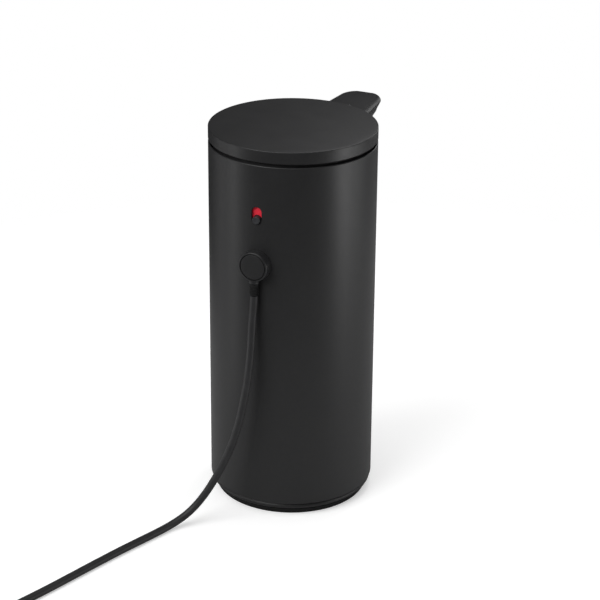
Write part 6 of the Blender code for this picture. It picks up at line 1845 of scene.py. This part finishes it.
    def build(self, shop: Workshop) -> tuple[bpy.types.Object, bpy.types.Object, Vector, Vector]:
        """Lay the cord and its coil, and dress and place the cord and the coil's tie.

        Args:
            shop: The workshop.

        Returns:
            The cord, its tie, the cord's far end and the direction to the plug.
        """
        wound, away = self.coil_points()
        points = self.free_points() + wound
        curve = bpy.data.curves.new("charging_cord", "CURVE")
        curve.dimensions = "3D"
        curve.bevel_depth = self.diameter / 2
        curve.bevel_resolution = 6
        curve.use_fill_caps = True
        curve.resolution_u = 4
        spline = curve.splines.new("NURBS")
        spline.points.add(len(points) - 1)
        for target, place in zip(spline.points, points):
            target.co = (*place, 1)
        spline.order_u = 4
        spline.use_endpoint_u = True
        cord = link(bpy.data.objects.new("charging_cord", curve))
        shop.place(cord, Body.CABLE, "cord_rubber", ["charge_cord", "cord_coil"])
        return cord, self._tie(shop, wound), wound[-1], away

    def _tie(self, shop: Workshop, wound: Sequence[Vector]) -> bpy.types.Object:
        """Build the soft tie round the coil's section, opposite to the plug.

        Args:
            shop: The workshop.
            wound: The coil's points.

        Returns:
            The tie.
        """
        places = numpy.array([tuple(point) for point in wound[2:-self.plug_steps]])
        middle = places.mean(axis=0)
        bearing = self.heading + self.tie_bearing
        radial, along = self._towards(bearing), self._towards(bearing + pi / 2)
        offsets = places - middle
        angles = numpy.arctan2(offsets[:, 1], offsets[:, 0])
        near = numpy.abs((angles - bearing + pi) % (2 * pi) - pi) < self.tie_reach
        distances = numpy.hypot(offsets[near, 0], offsets[near, 1])
        half = self.diameter / 2
        low, high = distances.min() - half, distances.max() + half
        bottom, top = self.tie_floor, places[near, 2].max() + half
        section = ((low + high) / 2, (top + bottom) / 2)
        rings = []
        for margin, floor in self.tie_layers:
            half_x, half_z = (high - low) / 2 + margin, (top - bottom) / 2 + margin
            outline = rounded_outline(half_x, half_z, half, section)
            rings.append([(x, max(z, floor)) for x, z in outline])
        centre = Vector((middle[0], middle[1], 0))
        inner, outer = rings
        loops = []
        for shift, ring in ((-1, inner), (-1, outer), (1, outer), (1, inner)):
            base = centre + along * self.tie_half * shift
            loops.append([base + radial * x + Vector((0, 0, z)) for x, z in ring])
        tie = loft("coil_tie", loops, looped=True)
        return shop.place(tie, Body.CABLE, "soft_rubber", angle=50.0)


@dataclass
class Plug:
    """The type A charging plug: its moulded grip, its shell with windows, its tongue."""

    grip_start: float = 4.3 * MM
    grip_length: float = 25.0 * MM
    grip_half_width: float = 7.5 * MM
    grip_half_height: float = 4.0 * MM
    grip_edge: float = 1.6 * MM
    collar_radius: float = 3.0 * MM
    collar_edge: float = 0.5 * MM
    rib_half: Point = (0.35 * MM, 4.6 * MM, 0.25 * MM)
    rib_edge: float = 0.24 * MM
    rib_sink: float = 0.22 * MM
    rib_start: float = 8.5 * MM
    rib_pitch: float = 1.6 * MM
    rib_count: int = 6
    shell_length: float = 14.5 * MM
    shell_half_width: float = 6.05 * MM
    shell_half_height: float = 2.3 * MM
    shell_wall: float = 0.4 * MM
    shell_corners: Place = (0.55 * MM, 0.2 * MM)
    window_start: float = 5.2 * MM
    window_end: float = 7.6 * MM
    window_middle: float = 2.9 * MM
    window_half: float = 1.15 * MM
    tongue_length: float = 12.5 * MM
    tongue_height: float = 1.8 * MM
    tongue_edge: float = 0.2 * MM
    strip_low: Point = (0.8 * MM, -0.5 * MM, -0.1 * MM)
    strip_high: Point = (10.5 * MM, 0.5 * MM, 0.12 * MM)
    strip_edge: float = 0.05 * MM
    strip_sink: float = 0.1 * MM
    strip_span: float = 7.0 * MM
    strip_count: int = 4

    def build(self, shop: Workshop, end: Vector, away: Vector) -> list[bpy.types.Object]:
        """Build and dress the plug.

        Args:
            shop: The workshop.
            end: The cord's far end.
            away: The direction in which the plug points.

        Returns:
            The plug's pieces.
        """
        start = self.grip_start + self.grip_length + SEAT_GAP
        grip, shell = self._grip(shop), self._shell(start)
        tongue, strips = self._tongue(shop, start)
        placing = Matrix.Translation(end) @ Matrix.Rotation(atan2(away.y, away.x), 4, "Z")
        for item in (grip, shell, tongue, strips):
            item.data.transform(placing)
        return [
            shop.place(grip, Body.CABLE, "puck_black", ["charger_plug_grip"]),
            shop.place(shell, Body.CABLE, "steel", ["charger_plug_shell"], 30.0),
            shop.place(tongue, Body.CABLE, "tongue_white", ["charger_plug_tongue"], 30.0),
            shop.place(strips, Body.CABLE, "contact_brass", angle=30.0),
        ]

    def _grip(self, shop: Workshop) -> bpy.types.Object:
        """Build the grip with its collar and a row of finger ribs on both faces.

        Args:
            shop: The workshop.

        Returns:
            The grip.
        """
        start, half_y, half_z = self.grip_start, self.grip_half_width, self.grip_half_height
        grip = soft_box(
            "plug_grip", (start, -half_y, -half_z), (start + self.grip_length, half_y, half_z),
            self.grip_edge, 5,
        )
        collar = shop.rod(
            "collar", self.collar_radius, (SEAT_GAP, 0, 0), (start + self.grip_edge, 0, 0),
            edge=self.collar_edge,
        )
        boolean(grip, "UNION", collar)
        ribs = []
        for side in (-1, 1):
            rib = soft_box("rib", tuple(-half for half in self.rib_half), self.rib_half, self.rib_edge)
            ribs.append(shop.row.bake(rib, {
                "Count": self.rib_count, "Pitch": (self.rib_pitch, 0.0, 0.0),
                "Start": (start + self.rib_start, 0.0, side * (half_z - self.rib_sink)),
            }))
        return join("plug_grip", [grip, *ribs])

    def _shell(self, start: float) -> bpy.types.Object:
        """Build the folded steel shell with its two windows on each face.

        Args:
            start: Where the shell starts, along the plug.

        Returns:
            The shell.
        """
        end = start + self.shell_length
        half_x, half_z, wall = self.shell_half_width, self.shell_half_height, self.shell_wall
        corner, inner_corner = self.shell_corners
        outer = prism("plug_shell", rounded_outline(half_x, half_z, corner), start, end)
        hollow = rounded_outline(half_x - wall, half_z - wall, inner_corner)
        inner = prism("inner", hollow, start - OVERRUN, end + OVERRUN)
        for item in (outer, inner):
            item.data.transform(Matrix.Rotation(pi / 2, 4, "Y") @ Matrix.Rotation(pi / 2, 4, "Z"))
        windows = []
        for middle in (-self.window_middle, self.window_middle):
            low = (start + self.window_start, middle - self.window_half, -2 * half_z)
            high = (start + self.window_end, middle + self.window_half, 2 * half_z)
            windows.append(soft_box("window", low, high))
        return boolean(outer, "DIFFERENCE", inner, *windows)

    def _tongue(self, shop: Workshop, start: float) -> tuple[bpy.types.Object, bpy.types.Object]:
        """Build the tongue and its contact strips.

        Args:
            shop: The workshop.
            start: Where the tongue starts, along the plug.

        Returns:
            The tongue and the strips.
        """
        half = self.shell_half_width - self.shell_wall - SEAT_GAP
        top = self.shell_half_height - self.shell_wall - SEAT_GAP
        low = top - self.tongue_height
        tongue = soft_box(
            "plug_tongue", (start, -half, low), (start + self.tongue_length, half, top), self.tongue_edge
        )
        strip = soft_box("plug_contacts", self.strip_low, self.strip_high, self.strip_edge, 2)
        shop.row.bake(strip, {
            "Count": self.strip_count, "Start": (start, -self.strip_span / 2, low - self.strip_sink),
            "Pitch": (0.0, self.strip_span / (self.strip_count - 1), 0.0),
        })
        return tongue, strip


# Studio

@dataclass(frozen=True)
class Lamp:
    """One soft rectangular lamp, placed by its bearing from the camera's."""

    name: str
    bearing: float
    watts: float
    distance: float = 0.7
    height: float = -0.02
    width: float = 0.1
    tall: float = 0.3

    def hang(self, camera_bearing: float, aim: Vector) -> None:
        """Hang the lamp, hidden from the camera.

        Args:
            camera_bearing: The camera's bearing in degrees.
            aim: The point that the lamp faces.
        """
        angle = radians(camera_bearing + self.bearing)
        data = bpy.data.lights.new(self.name, "AREA")
        data.shape = "RECTANGLE"
        data.size, data.size_y, data.energy = self.width, self.tall, self.watts
        lamp = link(bpy.data.objects.new(self.name, data))
        lamp.visible_camera = False
        place = Vector((self.distance * cos(angle), self.distance * sin(angle), self.height))
        turn = (aim - place).to_track_quat("-Z", "Y").to_matrix().to_4x4()
        lamp.matrix_world = Matrix.Translation(place) @ turn


@dataclass
class Studio:
    """The camera, the pale floor and backdrop, and the soft lights."""

    camera_place: Point = (-0.3514472, 0.7711804, 0.4627317)
    camera_right: Point = (-0.91034253, -0.41378885, 0.00743421)
    camera_up: Point = (0.17232543, -0.36266459, 0.91584843)
    camera_bearing: float = 114.5
    lens: float = 121.914648
    sensor: float = 36.0
    clip: Place = (0.05, 20.0)
    aim: Point = (0.0, 0.0, 0.09)
    world_strength: float = 0.3
    glossy_strength: float = 0.03
    floor_lift: float = 0.43
    floor_shades: tuple[float, float, float] = (0.50, 0.80, 0.79)
    floor_grain: float = 40.0 * MM
    floor_drop: float = 0.02 * MM
    floor_radius: Place = (0.26, 0.38)
    mirror_centre: Place = (-0.10, -0.07)
    mirror_radius: Place = (0.28, 0.42)
    mirror_margin: float = 1.4
    lamps: tuple[Lamp, ...] = (
        Lamp("key_left", -48, 10.4, 1.0, 0.95, 0.9, 0.9),
        Lamp("overhead", 30, 4.0, 0.1, 1.3, 1.3, 1.3),
        Lamp("right_strip_front", 65, 0.72),
        Lamp("right_strip_middle", 75, 0.72),
        Lamp("right_strip_rear", 95, 0.36),
        Lamp("left_strip", -83, 0.42),
        Lamp("left_strip_rear", -110, 0.14),
        Lamp("rear_right", 140, 0.9, 0.7, 0.22, 0.5, 0.4),
        Lamp("lid_wash", 150, 0.19, 0.15, 0.36, 0.1, 0.1),
    )

    def place_camera(self) -> None:
        """Place the camera at the picture's viewing angle."""
        data = bpy.data.cameras.new("camera")
        data.sensor_width = self.sensor
        data.lens = self.lens
        data.clip_start, data.clip_end = self.clip
        camera = link(bpy.data.objects.new("camera", data))
        right, up = Vector(self.camera_right), Vector(self.camera_up)
        turned = Matrix((right, up, right.cross(up))).transposed().to_4x4()
        camera.matrix_world = Matrix.Translation(self.camera_place) @ turned
        bpy.context.scene.camera = camera
        LOG.info("camera placed")

    def light(self) -> None:
        """Light the object softly and set the view transform."""
        bpy.context.scene.view_settings.view_transform = "Standard"
        for lamp in self.lamps:
            lamp.hang(self.camera_bearing, Vector(self.aim))
        self._world()
        LOG.info("lights placed")

    def _world(self) -> None:
        """Make the world white to the camera, dim in reflections and a grey light elsewhere."""
        sheet = ShaderSheet(bpy.data.worlds.new("studio"))
        bpy.context.scene.world = sheet.holder
        camera = sheet.node("ShaderNodeLightPath", output="Is Camera Ray")
        sharp = camera.beside("Is Glossy Ray").greater(camera.beside("Is Transmission Ray"))
        grey, dim, white = (
            sheet.node("ShaderNodeBackground", sockets={"Color": WHITE, "Strength": strength})
            for strength in (self.world_strength, self.glossy_strength, 1.0)
        )
        unseen = sheet.node("ShaderNodeMixShader", sockets={0: sharp, 1: grey, 2: dim})
        surface = sheet.node("ShaderNodeMixShader", sockets={0: camera, 1: unseen, 2: white})
        sheet.node("ShaderNodeOutputWorld", sockets={"Surface": surface})

    def floor(self) -> None:
        """Lay the pale floor, which brightens to white for the camera but keeps the shadow."""
        sheet = ShaderSheet(bpy.data.materials.new("studio_floor"))
        path = sheet.node("ShaderNodeLightPath", output="Is Camera Ray")
        lit, pale, deep = (times(WHITE, shade) for shade in self.floor_shades)
        colour = sheet.mix(path, lit, sheet.mix(sheet.noise(self.floor_grain, 2.0), pale, deep))
        diffuse = sheet.node("ShaderNodeBsdfDiffuse", sockets={"Color": colour})
        lift = path * self.floor_lift
        glow = sheet.node("ShaderNodeEmission", sockets={"Color": WHITE, "Strength": lift})
        both = sheet.node("ShaderNodeAddShader", sockets={0: diffuse, 1: glow})
        clear = sheet.node("ShaderNodeBsdfTransparent")
        seen = sheet.radius().band(*self.floor_radius)
        mirrored = sheet.radius(self.mirror_centre).band(*self.mirror_radius)
        fade = path * seen + (1 - path) * mirrored
        surface = sheet.node("ShaderNodeMixShader", sockets={0: fade, 1: both, 2: clear})
        sheet.node("ShaderNodeOutputMaterial", sockets={"Surface": surface})
        bm = bmesh.new()
        radius = self.mirror_radius[1] * self.mirror_margin
        bmesh.ops.create_circle(bm, cap_ends=True, segments=FINE_SIDES, radius=radius)
        bmesh.ops.translate(bm, verts=bm.verts[:], vec=(0, 0, -self.floor_drop))
        floor = mesh_object("studio_floor", bm)
        floor.data.materials.append(sheet.holder)
        LOG.info("floor laid")


def main() -> None:
    """Build every sub-assembly in order."""
    logging.basicConfig(level=logging.INFO, format="%(name)s: %(message)s")
    studio = Studio()
    studio.place_camera()
    shop = Workshop()
    shop.finishes.dress_hidden(frame["nodes"], frame["record"])
    cord, puck = Cord(), Puck()
    cord_piece, tie, end, away = cord.build(shop)
    relief = puck.relief(shop)
    plug = Plug().build(shop, end, away)
    puck.build(shop)
    spout = Spout()
    Housing().build(shop, spout)
    spout.build(shop)
    Lid().build(shop, spout)
    PowerSwitch().build(shop)
    studio.floor()
    studio.light()
    LOG.info("%d pieces placed", shop.placed)


if __name__ == "__main__":
    main()
